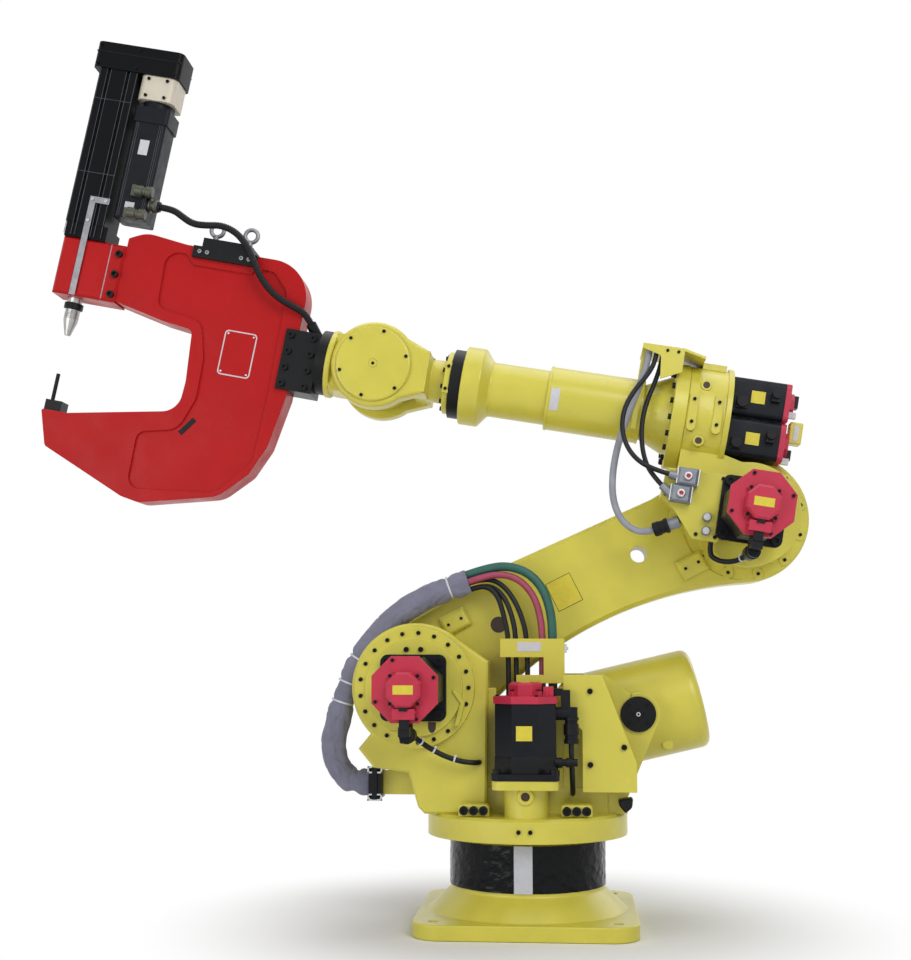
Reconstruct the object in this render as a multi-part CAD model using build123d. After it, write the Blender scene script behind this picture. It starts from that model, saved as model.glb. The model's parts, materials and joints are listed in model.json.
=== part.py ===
"""Six-axis floor robot with a C-frame press tool on its wrist, in millimetres.

X runs forward, Y to the robot's left and Z up, from the turning axis at floor level.
Each link is drawn about its own joint, and then set in the pose that the robot rests in.
"""
import os
from math import acos, atan2, cos, degrees, hypot, radians, sin, tan

from build123d import *

# Joint places and the rest pose
SHOULDER_X = 312.0
SHOULDER_Z = 670.0
ARM_LENGTH = 1075.0
ELBOW_OFFSET = 265.0
FOREARM_LENGTH = 1145.0
ARM_LEAN = 62.7
FOREARM_RISE = 9.5
TOOL_RISE = 11.0

# Clearances
RUN_GAP = 6.0
SEAT_GAP = 0.3
CUT_OVERRUN = 4.0

# Base
FOOT_WIDTH = 620.0
FOOT_THICK = 42.0
FOOT_CORNER = 80.0
FOOT_BOLT_PITCH = 500.0
FOOT_BOLT_HOLE = 27.0
SKIRT_RADIUS = 285.0
SKIRT_HEIGHT = 60.0
COLUMN_RADIUS = 222.0
BASE_HEIGHT = 252.0
NECK_RADIUS = 200.0
NECK_HEIGHT = 12.0
FILM_THICK = 3.0
FILM_LENGTH = 128.0

# Turret
RING_RADIUS = 288.0
RING_THICK = 66.0
RING_BEVEL = 8.0
DECK_FRONT = 250.0
DECK_REAR = 230.0
DECK_LEFT = 116.0
DECK_RIGHT = 200.0
DECK_HEIGHT = 72.0
BEAM_REAR = 285.0
BEAM_FRONT = 105.0
BEAM_HEIGHT = 82.0
CHEEK_ROUND = 182.0
CHEEK_INNER = 20.0
CHEEK_THICK = 140.0
CHEEK_PLATE_THICK = 42.0
CHEEK_CORE_RADIUS = 142.0
CHEEK_BEVEL = 6.0
SHOULDER_REDUCER_RADIUS = 150.0
SHOULDER_PAD_RADIUS = 138.0
SHOULDER_PAD_THICK = 42.0
CHEEK_RIM_RADIUS = 170.0
CHEEK_RIM_RISE = 26.0
CHEEK_OUTLINE_SHARES = [
    (0.89, 0.51), (0.65, 0.36), (0.10, 0.32), (-0.05, 0.05), (-0.15, 0.0),
    (-1.11, 0.0), (-1.14, 1.21), (-0.57, 1.42),
]
CHEEK_CORE_SHARES = [(-0.70, 0.0), (-1.11, 0.0), (-1.14, 1.21), (-0.57, 1.36), (-0.10, 0.60)]
PEDESTAL_X = -3.0
PEDESTAL_Y = 215.0
PEDESTAL_NECK_RADIUS = 60.0
PEDESTAL_HEIGHT = 104.0
PEDESTAL_FLANGE = 182.0
PEDESTAL_FLANGE_THICK = 25.0
PEDESTAL_FLANGE_CORNER = 24.0
RING_STOP_LENGTH = 86.0
RING_STOP_WIDTH = 48.0
RING_STOP_HEIGHT = 34.0
RING_STOP_X = 142.0
RING_STOP_Y = 196.0
RING_STOP_BEVEL = 6.0

# Balancer
BALANCER_Y = -85.0
TRUNNION_X = -319.0
TRUNNION_Z = 595.0
TRUNNION_RADIUS = 62.0
TRUNNION_PIN_RADIUS = 32.0
TRUNNION_CAP_RADIUS = 50.0
TRUNNION_CAP_THICK = 9.0
BRACKET_THICK = 38.0
BRACKET_SPACE = 157.0
BRACKET_OUTLINE_SHARES = [
    (0.33, 0.60), (0.89, 0.60), (1.19, 0.98), (0.94, 1.10), (0.70, 1.185), (0.33, 1.185),
]
CYLINDER_RADIUS = 145.0
CYLINDER_WALL = 15.0
CYLINDER_FRONT = 122.0
CYLINDER_REAR = 192.0
CYLINDER_MOUTH_RADIUS = 112.0
CYLINDER_END_ROUND = 26.0
ROD_RADIUS = 24.0
ROD_LENGTH = 550.0
ROD_EYE_RADIUS = 44.0
ROD_EYE_WIDTH = 50.0
ROD_PIN_RADIUS = 22.0
LUG_REACH = 225.0
LUG_EAR_RADIUS = 48.0
LUG_EAR_THICK = 26.0

# Servo motors of the lower axes
MOTOR_FLANGE = 186.0
MOTOR_FLANGE_CORNER = 22.0
MOTOR_FLANGE_THICK = 18.0
MOTOR_WIDTH = 168.0
MOTOR_BODY_LENGTH = 206.0
MOTOR_CAP_WIDTH = 177.0
MOTOR_CAP_THICK = 20.0
MOTOR_COVER_WIDTH = 92.0
MOTOR_COVER_THICK = 38.0
MOTOR_COVER_BEVEL = 6.0
OUTLET_RADIUS = 18.0
OUTLET_LENGTH = 42.0
OUTLET_PLACE = 178.0
OUTLET_DROP = 74.0

# Side plate, hose clamp and sleeve bracket on the turret
SIDE_PLATE_THICK = 12.0
SIDE_PLATE_STANDOFF = 70.0
SIDE_PLATE_POST_RADIUS = 17.0
SIDE_PLATE_OUTLINE_SHARES = [
    (0.34, 1.185), (0.68, 1.185), (0.97, 0.78), (0.97, 0.645), (0.50, 0.645), (0.50, 0.93), (0.34, 1.0),
]
SIDE_PLATE_POST_SHARES = [(0.42, 1.10), (0.80, 0.90), (0.60, 0.70)]
CLAMP_THICK = 12.0
CLAMP_LEFT = 72.0
CLAMP_RIGHT = 112.0
CLAMP_LOW = 755.0
CLAMP_HEIGHT = 53.0
CLAMP_BACK_THICK = 10.0
CLAMP_THROAT = 42.0
CLAMP_POST_WIDTH = 10.0
CLAMP_STEM_WIDTH = 60.0
CLAMP_BAR_HEIGHT = 24.0
CLAMP_GUARD_LEFT = 26.0
CLAMP_BAR_OVERLAP = 110.0
SLEEVE_ARM_LENGTH = 162.0
SLEEVE_ARM_THICK = 14.0
SLEEVE_ARM_HEIGHT = 68.0
SLEEVE_ARM_LOW = 364.0
SLEEVE_CLAMP_LENGTH = 38.0
SLEEVE_CLAMP_WIDTH = 84.0
SLEEVE_CLAMP_HEIGHT = 84.0
SLEEVE_CLAMP_CORNER = 12.0

# Lower arm
ARM_NEAR = -5.0
ARM_THICK = 160.0
ARM_HUB_RADIUS = 190.0
ARM_FRONT = 204.0
ARM_FRONT_SHARES = [(1.0, 0.34), (0.86, 0.80)]
ARM_WAIST = 76.0
ARM_TOP_TURN = 90.0
ARM_EDGE_BEVEL = 12.0
ARM_EYE_RADIUS = 24.0
ARM_EYE_OFFSET = 48.0
ARM_EYE_PLACE = 750.0
ARM_STOP_LENGTH = 84.0
ARM_STOP_WIDTH = 62.0
ARM_STOP_THICK = 20.0
ARM_STOP_BEVEL = 8.0
ARM_STOP_LOW_SHARES = (0.60, 0.165)
ARM_STOP_HIGH_SHARE = -0.26
ARM_STOP_HIGH_DROP = 204.0
ARM_RIM_OUTER = 184.0
ARM_RIM_INNER = 154.0
ARM_RIM_DEPTH = 5.0
ARM_RIM_PAD_RADIUS = 17.0
ARM_RIM_PADS = 12
ARM_RIM_PAD_TURN = 15.0
ARM_CAP_RADIUS = 128.0
ARM_CAP_THICK = 16.0
ARM_CAP_BEVEL = 5.0

# Elbow
ELBOW_BOSS_RADIUS = 150.0
ELBOW_NEAR = 110.0
ELBOW_MOTOR_SEAT = 175.0
ELBOW_PAD_RADIUS = 78.0
GEARBOX_RADIUS = 155.0
GEARBOX_REAR = 95.0
GEARBOX_FRONT = 220.0
GEARBOX_PLATE_THICK = 16.0
GEARBOX_LIP = 8.0
GEARBOX_FAR_LOW = 178.0
GEARBOX_PAD_RADIUS = 13.0
GEARBOX_PAD_LENGTH = 118.0
GEARBOX_PAD_SHARES = (0.30, 0.87)
GEARBOX_PAD_RISE = 6.0
GEARBOX_PLUG_RADIUS = 16.0
GEARBOX_PLUG_X = 175.0
GEARBOX_PLUG_OFFSET = 82.0
GEARBOX_PLUG_FACE = 142.0
ELBOW_WEB_SHARES = [
    (0.0, -0.53), (0.45, -0.36), (1.0, -0.17), (1.0, 0.57), (0.98, 0.94), (0.60, 0.94), (0.43, 0.60),
    (-0.45, 0.42),
]
WRIST_MOTOR_WIDTH = 112.0
WRIST_MOTOR_LENGTH = 150.0
WRIST_MOTOR_CORNER = 14.0
WRIST_MOTOR_GAP = 6.0
WRIST_MOTOR_CAP_THICK = 16.0
WRIST_MOTOR_COVER_SHARE = 0.62
WRIST_MOTOR_COVER_THICK = 14.0
WRIST_MOTOR_ROW = 336.0
BOX_THICK = 62.0
BOX_REACH = 260.0
BOX_OUTLINE_SHARES = [(0.97, 0.34), (0.31, 0.36), (0.31, -0.39), (0.60, -0.39), (0.82, -0.12), (1.0, 0.02)]
BOX_CORNER = 4.0
PLUG_LENGTH = 56.0
PLUG_HEIGHT = 50.0
PLUG_DEPTH = 34.0
PLUG_GLAND_DIAMETER = 24.0
PLUG_GLAND_LENGTH = 46.0
PLUG_BEVEL = 6.0
PLUG_PLACES_SHARES = [(0.74, 0.26), (0.79, 0.065)]
PORT_RADIUS = 13.0
PORT_LENGTH = 16.0
PORT_PLACES_SHARES = [(0.47, -0.14), (0.46, -0.29)]
ROUND_PLUG_DIAMETER = 34.0
ROUND_PLUG_LENGTH = 60.0
HOOD_FRONT = 372.0
HOOD_REAR = 250.0
HOOD_RISE = 12.0
HOOD_THICK = 8.0
HOOD_LEFT = 146.0
HOOD_RIGHT = 60.0
HOOD_PANEL_THICK = 6.0
HOOD_PANEL_HEIGHT = 98.0
HOOD_PANEL_SHARES = [
    (1.0, 0.0), (1.0, -0.15), (0.56, -0.30), (0.54, -0.38), (0.49, -1.0), (0.0, -0.72), (0.0, 0.0),
]
HOOD_LEG_WIDTH = 16.0
HOOD_LEG_OUTER = 107.0
HOOD_LEG_THICK = 6.0
HOOD_LEG_LENGTH = 240.0
HOOD_STRAP_LENGTH = 62.0
HOOD_FOOT_LENGTH = 70.0
HOOD_FOOT_SEAT = 30.0

# Forearm
FLANGE_RADIUS = 158.0
FLANGE_THICK = 42.0
CONE_RADIUS = 120.0
CONE_END = 345.0
TUBE_RADIUS = 82.0
COVER_RADIUS = 95.0
COVER_SHARE = 0.622
WRIST_REACH = 261.0
BELL_RUN = 84.0
BELL_RADIUS = 118.0
BELL_THICK = 56.0
WRIST_RING_RADIUS = 104.0
WRIST_RING_THICK = 35.0
YOKE_FLANGE_RADIUS = 94.0
YOKE_FLANGE_THICK = 18.0
YOKE_NECK_RADIUS = 66.0
YOKE_CHEEK_RADIUS = 128.0
YOKE_OUTER = 135.0
YOKE_INNER = 76.0
YOKE_ROOT = 62.0
YOKE_WEB_REACH = 115.0
YOKE_WEB_THICK = 48.0
YOKE_BEVEL = 8.0
YOKE_COVER_RADIUS = 112.0
YOKE_COVER_THICK = 12.0
YOKE_COVER_BEVEL = 4.0
YOKE_COVER_HOLE = 12.0

# Wrist
WRIST_DRUM_RADIUS = 104.0
WRIST_HALF_WIDTH = 70.0
WRIST_PIVOT_RADIUS = 62.0
WRIST_BLOCK_HEIGHT = 176.0
WRIST_FLANGE_FACE = 152.0
WRIST_FLANGE_THICK = 18.0
WRIST_FLANGE_RADIUS = 103.0

# Press tool
TOOL_RING_RADIUS = 98.0
TOOL_RING_THICK = 30.0
ADAPTER_PLATE_THICK = 24.0
ADAPTER_HEIGHT = 186.0
ADAPTER_DROP = 18.0
ADAPTER_WIDTH = 124.0
ADAPTER_CHEEK_THICK = 12.0
ADAPTER_CHEEK_FRONT = 294.0
FRAME_THICK = 100.0
FRAME_REAR = 256.0
FRAME_REACH = 714.0
FRAME_TOP = 306.0
FRAME_OUTLINE_SHARES = [
    (0.82, 0.22), (0.82, 0.88), (0.745, 0.965), (0.56, 0.915), (0.0, 0.915), (0.0, -0.42), (0.035, -0.95),
    (0.09, -1.25), (0.20, -1.52), (0.53, -1.72), (0.61, -1.69), (0.985, -1.335), (1.035, -0.975),
    (0.92, -0.975), (0.446, -0.757), (0.44, -0.45), (0.46, 0.07), (0.60, 0.11),
]
FRAME_CORNERS = (8, 8, 90, 60, 120, 40, 60, 50, 90, 60, 60, 16, 6, 30, 62, 60, 20, 60)
FRAME_POCKET_SHARES = [
    (0.645, 0.83), (0.632, 0.24), (0.43, 0.17), (0.385, -0.20), (0.38, -0.60), (0.43, -0.94), (0.60, -1.03),
    (0.595, -1.60), (0.22, -1.49), (0.085, -1.12), (0.08, -0.40), (0.09, 0.62), (0.16, 0.79), (0.243, 0.79),
    (0.255, 0.725), (0.515, 0.725), (0.55, 0.82),
]
FRAME_POCKET_CORNERS = (45, 30, 45, 80, 80, 60, 30, 35, 60, 60, 20, 40, 25, 8, 8, 12, 12)
FRAME_POCKET_DEPTH = 9.0
RAM_SHARE = 1.021
HEAD_NOSE = 59.0
HEAD_LOW = 62.0
HEAD_HIGH = 243.0
HEAD_WIDTH = 116.0
HEAD_BEVEL = 8.0
COLLAR_LENGTH = 134.0
COLLAR_HEIGHT = 46.0
COLUMN_LENGTH = 124.0
COLUMN_WIDTH = 124.0
COLUMN_TOP = 790.0
COLUMN_GROOVE_WIDTH = 10.0
COLUMN_GROOVE_DEPTH = 8.0
COLUMN_GROOVE_SHARES = (-0.25, 0.25)
BELT_HEIGHT = 84.0
BELT_NOSE = 87.0
BELT_TAIL = 64.0
BELT_WIDTH = 132.0
BELT_CORNER = 20.0
DRIVE_PITCH = 129.0
DRIVE_WIDTH = 118.0
DRIVE_GEARBOX_HEIGHT = 78.0
DRIVE_GEARBOX_CORNER = 24.0
DRIVE_NECK_RADIUS = 50.0
DRIVE_NECK_HEIGHT = 22.0
DRIVE_MOTOR_WIDTH = 114.0
DRIVE_MOTOR_LOW = 330.0
DRIVE_MOTOR_CORNER = 12.0
DRIVE_BODY_WIDTH = 104.0
DRIVE_FLANGE_HEIGHT = 50.0
DRIVE_PLUG_RADIUS = 16.0
DRIVE_PLUG_LENGTH = 30.0
DRIVE_PLUG_Z = 385.0
DRIVE_PLUG_Y = 36.0
STRIP_THICK = 4.0
STRIP_WIDTH = 20.0
STRIP_HIGH = 378.0
STRIP_LOW = 62.0
STRIP_FOOT = 64.0
SADDLE_SHARES = (0.242, 0.525)
SADDLE_THICK = 14.0
SADDLE_SIDE_HEIGHT = 36.0
SADDLE_RISE = 28.0
SADDLE_STEP = 26.0
EYE_RING_RADIUS = 20.0
EYE_BAR_RADIUS = 6.5
EYE_SHANK_RADIUS = 9.0
EYE_COLLAR_RADIUS = 15.0
EYE_COLLAR_THICK = 8.0
EYE_SHANK_LENGTH = 24.0
EYE_PLACES_SHARES = (0.24, 0.78)
DIE_LENGTH = 52.0
DIE_WIDTH = 60.0
DIE_HEIGHT = 34.0
DIE_FRONT = 10.0
DIE_PIN_RADIUS = 6.0
DIE_PIN_LENGTH = 86.0
PUNCH_RADIUS = 22.0
PUNCH_TIP_RADIUS = 9.0
PUNCH_SHANK = 72.0
PUNCH_NOSE = 46.0
PUNCH_INSIDE = 122.0
PUNCH_GAP = 0.5
PUNCH_BORE_SPARE = 14.0
CABLE_PLUG_DIAMETER = 32.0
CABLE_PLUG_LENGTH = 56.0

# Hoses and cables
CORD_RUN_SHARE = 0.45
SLEEVE_Y = 75.0
SLEEVE_DIAMETER = 70.0
GREEN_HOSE_DIAMETER = 26.0
RED_HOSE_DIAMETER = 20.0
DRESS_CABLE_DIAMETER = 15.0
ELBOW_CABLE_DIAMETER = 14.0
GREY_CABLE_DIAMETER = 20.0
MOTOR_CABLE_DIAMETER = 15.0
CONDUIT_DIAMETER = 22.0

# Values worked out from those above
RING_TOP = BASE_HEIGHT + RING_THICK
DECK_TOP = RING_TOP + DECK_HEIGHT
CHEEK_HEIGHT = SHOULDER_Z - RING_TOP
CHEEK_OUTER = CHEEK_INNER + CHEEK_THICK
SHOULDER_MOTOR_SEAT = CHEEK_OUTER + SHOULDER_PAD_THICK
ARM_FAR = ARM_NEAR - ARM_THICK
PEDESTAL_TOP = RING_TOP + PEDESTAL_HEIGHT
NEAR_BRACKET_INNER = BALANCER_Y + BRACKET_SPACE
NEAR_BRACKET_OUTER = NEAR_BRACKET_INNER + BRACKET_THICK
LUG_X = SHOULDER_X - LUG_REACH * cos(radians(ARM_LEAN))
LUG_Z = SHOULDER_Z - LUG_REACH * sin(radians(ARM_LEAN))
BALANCER_TILT = degrees(atan2(TRUNNION_Z - LUG_Z, LUG_X - TRUNNION_X))
BELL_FACE = FOREARM_LENGTH - WRIST_REACH
BELL_START = BELL_FACE - BELL_RUN
COVER_END = CONE_END + COVER_SHARE * (BELL_START - CONE_END)
COVER_BORE = TUBE_RADIUS + SEAT_GAP
YOKE_START = BELL_FACE + WRIST_RING_THICK
TOOL_START = WRIST_FLANGE_FACE + SEAT_GAP
ADAPTER_START = TOOL_START + TOOL_RING_THICK
FRAME_HEAD = FRAME_REAR + FRAME_OUTLINE_SHARES[0][0] * FRAME_REACH
RAM_X = FRAME_REAR + RAM_SHARE * FRAME_REACH
HEAD_FRONT = RAM_X + HEAD_NOSE
DRIVE_X = RAM_X - DRIVE_PITCH
BELT_FRONT = RAM_X + BELT_NOSE
BELT_REAR = DRIVE_X - BELT_TAIL
SADDLE_REAR = FRAME_REAR + SADDLE_SHARES[0] * FRAME_REACH
SADDLE_FRONT = FRAME_REAR + SADDLE_SHARES[1] * FRAME_REACH
SADDLE_SEAT = FRAME_OUTLINE_SHARES[3][1] * FRAME_TOP
DIE_SEAT = FRAME_OUTLINE_SHARES[13][1] * FRAME_TOP

ARM_FRAME = Pos(SHOULDER_X, 0, SHOULDER_Z) * Rot(0, -ARM_LEAN, 0)
ELBOW_FRAME = ARM_FRAME * Pos(0, 0, ARM_LENGTH) * Rot(0, ARM_LEAN - FOREARM_RISE, 0)
ROLL_FRAME = ELBOW_FRAME * Pos(0, 0, ELBOW_OFFSET)
WRIST_FRAME = ROLL_FRAME * Pos(FOREARM_LENGTH, 0, 0)
TOOL_FRAME = WRIST_FRAME * Rot(0, FOREARM_RISE - TOOL_RISE, 0)
BALANCER_FRAME = Pos(TRUNNION_X, BALANCER_Y, TRUNNION_Z) * Rot(0, BALANCER_TILT, 0)
ROD_FRAME = Pos(LUG_X, BALANCER_Y, LUG_Z) * Rot(0, BALANCER_TILT, 0)


def block(x_low, x_high, y_low, y_high, z_low, z_high):
    """A box between two places on each axis."""
    middle = Pos((x_low + x_high) / 2, (y_low + y_high) / 2, (z_low + z_high) / 2)
    return middle * Box(x_high - x_low, y_high - y_low, z_high - z_low)


def disc_x(radius, x_low, x_high, y=0, z=0):
    """A round disc with its axis along X."""
    return Pos((x_low + x_high) / 2, y, z) * Rot(0, 90, 0) * Cylinder(radius, x_high - x_low)


def disc_y(radius, y_low, y_high, x=0, z=0):
    """A round disc with its axis along Y."""
    return Pos(x, (y_low + y_high) / 2, z) * Rot(90, 0, 0) * Cylinder(radius, y_high - y_low)


def disc_z(radius, z_low, z_high, x=0, y=0):
    """A round disc with its axis along Z."""
    return Pos(x, y, (z_low + z_high) / 2) * Cylinder(radius, z_high - z_low)


def plate_y(outline, y_low, y_high, corner=0):
    """A plate with its outline in X and Z and its thickness along Y."""
    face = make_face(Polyline(*outline, close=True))
    if corner:
        face = fillet(face.vertices(), corner)
    return extrude(Plane.XZ.offset(-y_high) * face, amount=y_high - y_low)


def curved_plate_y(outline, corners, y_low, y_high):
    """A plate along Y whose outline has a corner radius of its own at each point."""
    face = make_face(Polyline(*outline, close=True))
    for point, corner in zip(outline, corners):
        face = fillet(face.vertices().sort_by_distance(point)[0], corner)
    return extrude(Plane.XZ.offset(-y_high) * face, amount=y_high - y_low)


def turned_x(profile):
    """A solid turned about X from points of place and radius."""
    return revolve(make_face(Polyline(*profile, close=True)), axis=Axis.X)


def turned_z(profile):
    """A solid turned about Z from points of radius and height."""
    return revolve(Plane.XZ * make_face(Polyline(*profile, close=True)), axis=Axis.Z)


def octagon(width):
    """An octagon that is flat on top, by its width across flats."""
    return RegularPolygon(width / 2, 8, major_radius=False, rotation=22.5)


def scaled(shares, x_size, z_size, x_start=0, z_start=0):
    """The points of an outline from shares of two sizes."""
    return [(x_start + x * x_size, z_start + z * z_size) for x, z in shares]


def outer_edges(solid, axis, end):
    """The edges of the face that lies furthest along an axis."""
    return solid.faces().sort_by(axis)[end].edges()


def base_casting():
    """Bolted foot with a flared column and the bearing neck that carries the turret."""
    foot = extrude(RectangleRounded(FOOT_WIDTH, FOOT_WIDTH, FOOT_CORNER), FOOT_THICK)
    column = turned_z([
        (0, FOOT_THICK), (SKIRT_RADIUS, FOOT_THICK), (COLUMN_RADIUS, FOOT_THICK + SKIRT_HEIGHT),
        (COLUMN_RADIUS, BASE_HEIGHT - NECK_HEIGHT), (NECK_RADIUS, BASE_HEIGHT - NECK_HEIGHT),
        (NECK_RADIUS, BASE_HEIGHT - SEAT_GAP), (0, BASE_HEIGHT - SEAT_GAP),
    ])
    holes = GridLocations(FOOT_BOLT_PITCH, FOOT_BOLT_PITCH, 2, 2) * Cylinder(
        FOOT_BOLT_HOLE / 2, 2 * FOOT_THICK + CUT_OVERRUN)
    return foot + column - holes


def base_film_wrap():
    """Film wound round the column as a thin sleeve."""
    film_top = BASE_HEIGHT - NECK_HEIGHT
    inner = COLUMN_RADIUS + SEAT_GAP
    sleeve = disc_z(inner + FILM_THICK, film_top - FILM_LENGTH, film_top)
    return sleeve - disc_z(inner, film_top - FILM_LENGTH - CUT_OVERRUN, film_top + CUT_OVERRUN)


def bracket_plate(y_low, y_high):
    """One balancer bracket with the round eye that holds a trunnion pin."""
    plate = plate_y(scaled(BRACKET_OUTLINE_SHARES, TRUNNION_X, TRUNNION_Z), y_low, y_high)
    eye = disc_y(TRUNNION_RADIUS, y_low, y_high, TRUNNION_X, TRUNNION_Z)
    bore = disc_y(TRUNNION_PIN_RADIUS + SEAT_GAP, y_low - CUT_OVERRUN, y_high + CUT_OVERRUN,
                  TRUNNION_X, TRUNNION_Z)
    return plate + eye - bore


def shoulder_cheek():
    """The near wall that holds the shoulder reducer and its motor."""
    outline = scaled(CHEEK_OUTLINE_SHARES, CHEEK_ROUND, CHEEK_HEIGHT, SHOULDER_X, RING_TOP)
    plate_inner = CHEEK_OUTER - CHEEK_PLATE_THICK
    plate = plate_y(outline, plate_inner, CHEEK_OUTER)
    plate += disc_y(CHEEK_ROUND, plate_inner, CHEEK_OUTER, SHOULDER_X, SHOULDER_Z)
    plate = chamfer(outer_edges(plate, Axis.Y, -1), CHEEK_BEVEL)
    core_outline = scaled(CHEEK_CORE_SHARES, CHEEK_ROUND, CHEEK_HEIGHT, SHOULDER_X, RING_TOP)
    core = plate_y(core_outline, CHEEK_INNER, plate_inner)
    core += disc_y(CHEEK_CORE_RADIUS, CHEEK_INNER, plate_inner, SHOULDER_X, SHOULDER_Z)
    reducer = disc_y(SHOULDER_REDUCER_RADIUS, ARM_NEAR + SEAT_GAP, CHEEK_INNER, SHOULDER_X, SHOULDER_Z)
    rim = disc_y(CHEEK_RIM_RADIUS, CHEEK_OUTER, CHEEK_OUTER + CHEEK_RIM_RISE, SHOULDER_X, SHOULDER_Z)
    pad = disc_y(SHOULDER_PAD_RADIUS, CHEEK_OUTER, SHOULDER_MOTOR_SEAT, SHOULDER_X, SHOULDER_Z)
    return plate + core + reducer + rim + pad


def turret_casting():
    """Turning ring, deck, shoulder cheek, motor pedestal and balancer brackets in one casting."""
    ring = disc_z(RING_RADIUS, BASE_HEIGHT, RING_TOP)
    ring = chamfer(outer_edges(ring, Axis.Z, -1), RING_BEVEL)
    deck = block(-DECK_REAR, DECK_FRONT, -DECK_RIGHT, DECK_LEFT, RING_TOP, DECK_TOP)
    far_outer = BALANCER_Y - BRACKET_SPACE - BRACKET_THICK
    beam = block(-BEAM_REAR, -BEAM_FRONT, far_outer, NEAR_BRACKET_OUTER, RING_TOP, RING_TOP + BEAM_HEIGHT)
    brackets = bracket_plate(NEAR_BRACKET_INNER, NEAR_BRACKET_OUTER)
    brackets += bracket_plate(far_outer, far_outer + BRACKET_THICK)
    neck = disc_z(PEDESTAL_NECK_RADIUS, RING_TOP, PEDESTAL_TOP, PEDESTAL_X, PEDESTAL_Y)
    flange = extrude(
        RectangleRounded(PEDESTAL_FLANGE, PEDESTAL_FLANGE, PEDESTAL_FLANGE_CORNER), PEDESTAL_FLANGE_THICK)
    flange = Pos(PEDESTAL_X, PEDESTAL_Y, PEDESTAL_TOP - PEDESTAL_FLANGE_THICK) * flange
    return ring + deck + beam + brackets + neck + flange + shoulder_cheek()


def ring_stop_blocks():
    """Two stop blocks that sit on the front edge of the turning ring."""
    stop = block(-RING_STOP_LENGTH / 2, RING_STOP_LENGTH / 2, -RING_STOP_WIDTH / 2, RING_STOP_WIDTH / 2,
                 0, RING_STOP_HEIGHT)
    stop = chamfer(outer_edges(stop, Axis.Z, -1), RING_STOP_BEVEL)
    return [Pos(side * RING_STOP_X, RING_STOP_Y, RING_TOP) * stop for side in (-1, 1)]


def motor_body():
    """Flange and octagonal body of a servo motor along Z, with its cable outlet towards Y."""
    flange = extrude(RectangleRounded(MOTOR_FLANGE, MOTOR_FLANGE, MOTOR_FLANGE_CORNER), MOTOR_FLANGE_THICK)
    shell = extrude(octagon(MOTOR_WIDTH), MOTOR_BODY_LENGTH)
    outlet_end = MOTOR_WIDTH / 2 + OUTLET_LENGTH
    outlet = disc_y(OUTLET_RADIUS, 0, outlet_end, 0, OUTLET_PLACE)
    elbow = disc_z(OUTLET_RADIUS, OUTLET_PLACE - OUTLET_DROP, OUTLET_PLACE + OUTLET_RADIUS, 0, outlet_end)
    return flange + shell + outlet + elbow


def motor_cap():
    """Octagonal end cap of a servo motor with the smaller cover of its encoder."""
    cap = Pos(0, 0, MOTOR_BODY_LENGTH) * extrude(octagon(MOTOR_CAP_WIDTH), MOTOR_CAP_THICK)
    cover = extrude(octagon(MOTOR_COVER_WIDTH), MOTOR_COVER_THICK)
    cover = chamfer(outer_edges(cover, Axis.Z, -1), MOTOR_COVER_BEVEL)
    return cap + Pos(0, 0, MOTOR_BODY_LENGTH + MOTOR_CAP_THICK) * cover


def rear_side_plate():
    """Cover plate held on posts off the near balancer bracket."""
    plate_low = NEAR_BRACKET_OUTER + SIDE_PLATE_STANDOFF
    plate = plate_y(scaled(SIDE_PLATE_OUTLINE_SHARES, TRUNNION_X, TRUNNION_Z),
                    plate_low, plate_low + SIDE_PLATE_THICK)
    for x, z in scaled(SIDE_PLATE_POST_SHARES, TRUNNION_X, TRUNNION_Z):
        plate += disc_y(SIDE_PLATE_POST_RADIUS, NEAR_BRACKET_OUTER, plate_low, x, z)
    return plate


def hose_clamp_bracket():
    """Two clamp bars round the hoses on a bracket off the near balancer bracket."""
    front_low = NEAR_BRACKET_OUTER
    front_high = front_low + CLAMP_THICK
    clamp_high = CLAMP_LOW + CLAMP_HEIGHT
    back_high = front_low - CLAMP_THROAT
    bar_low = BRACKET_OUTLINE_SHARES[-1][1] * TRUNNION_Z - CLAMP_BAR_HEIGHT
    bar_end = BEAM_FRONT + CLAMP_BAR_OVERLAP
    front = block(-CLAMP_RIGHT, CLAMP_LEFT, front_low, front_high, CLAMP_LOW, clamp_high)
    back = block(-CLAMP_RIGHT, CLAMP_LEFT, back_high - CLAMP_BACK_THICK, back_high, CLAMP_LOW, clamp_high)
    posts = block(-CLAMP_RIGHT, CLAMP_POST_WIDTH - CLAMP_RIGHT, back_high, front_low, CLAMP_LOW, clamp_high)
    posts += block(CLAMP_LEFT - CLAMP_POST_WIDTH, CLAMP_LEFT, back_high, front_low, CLAMP_LOW, clamp_high)
    stem = block(-CLAMP_RIGHT, CLAMP_STEM_WIDTH - CLAMP_RIGHT, front_low, front_high, bar_low, CLAMP_LOW)
    bar = block(-bar_end, CLAMP_GUARD_LEFT, front_low, front_high, bar_low,
                bar_low + CLAMP_BAR_HEIGHT)
    return front + back + posts + stem + bar


def sleeve_bracket():
    """Flat arm off the front of the deck that carries the sleeve's clamp."""
    return block(DECK_FRONT, DECK_FRONT + SLEEVE_ARM_LENGTH, SLEEVE_Y - SLEEVE_ARM_THICK / 2,
                 SLEEVE_Y + SLEEVE_ARM_THICK / 2, SLEEVE_ARM_LOW, SLEEVE_ARM_LOW + SLEEVE_ARM_HEIGHT)


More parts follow.
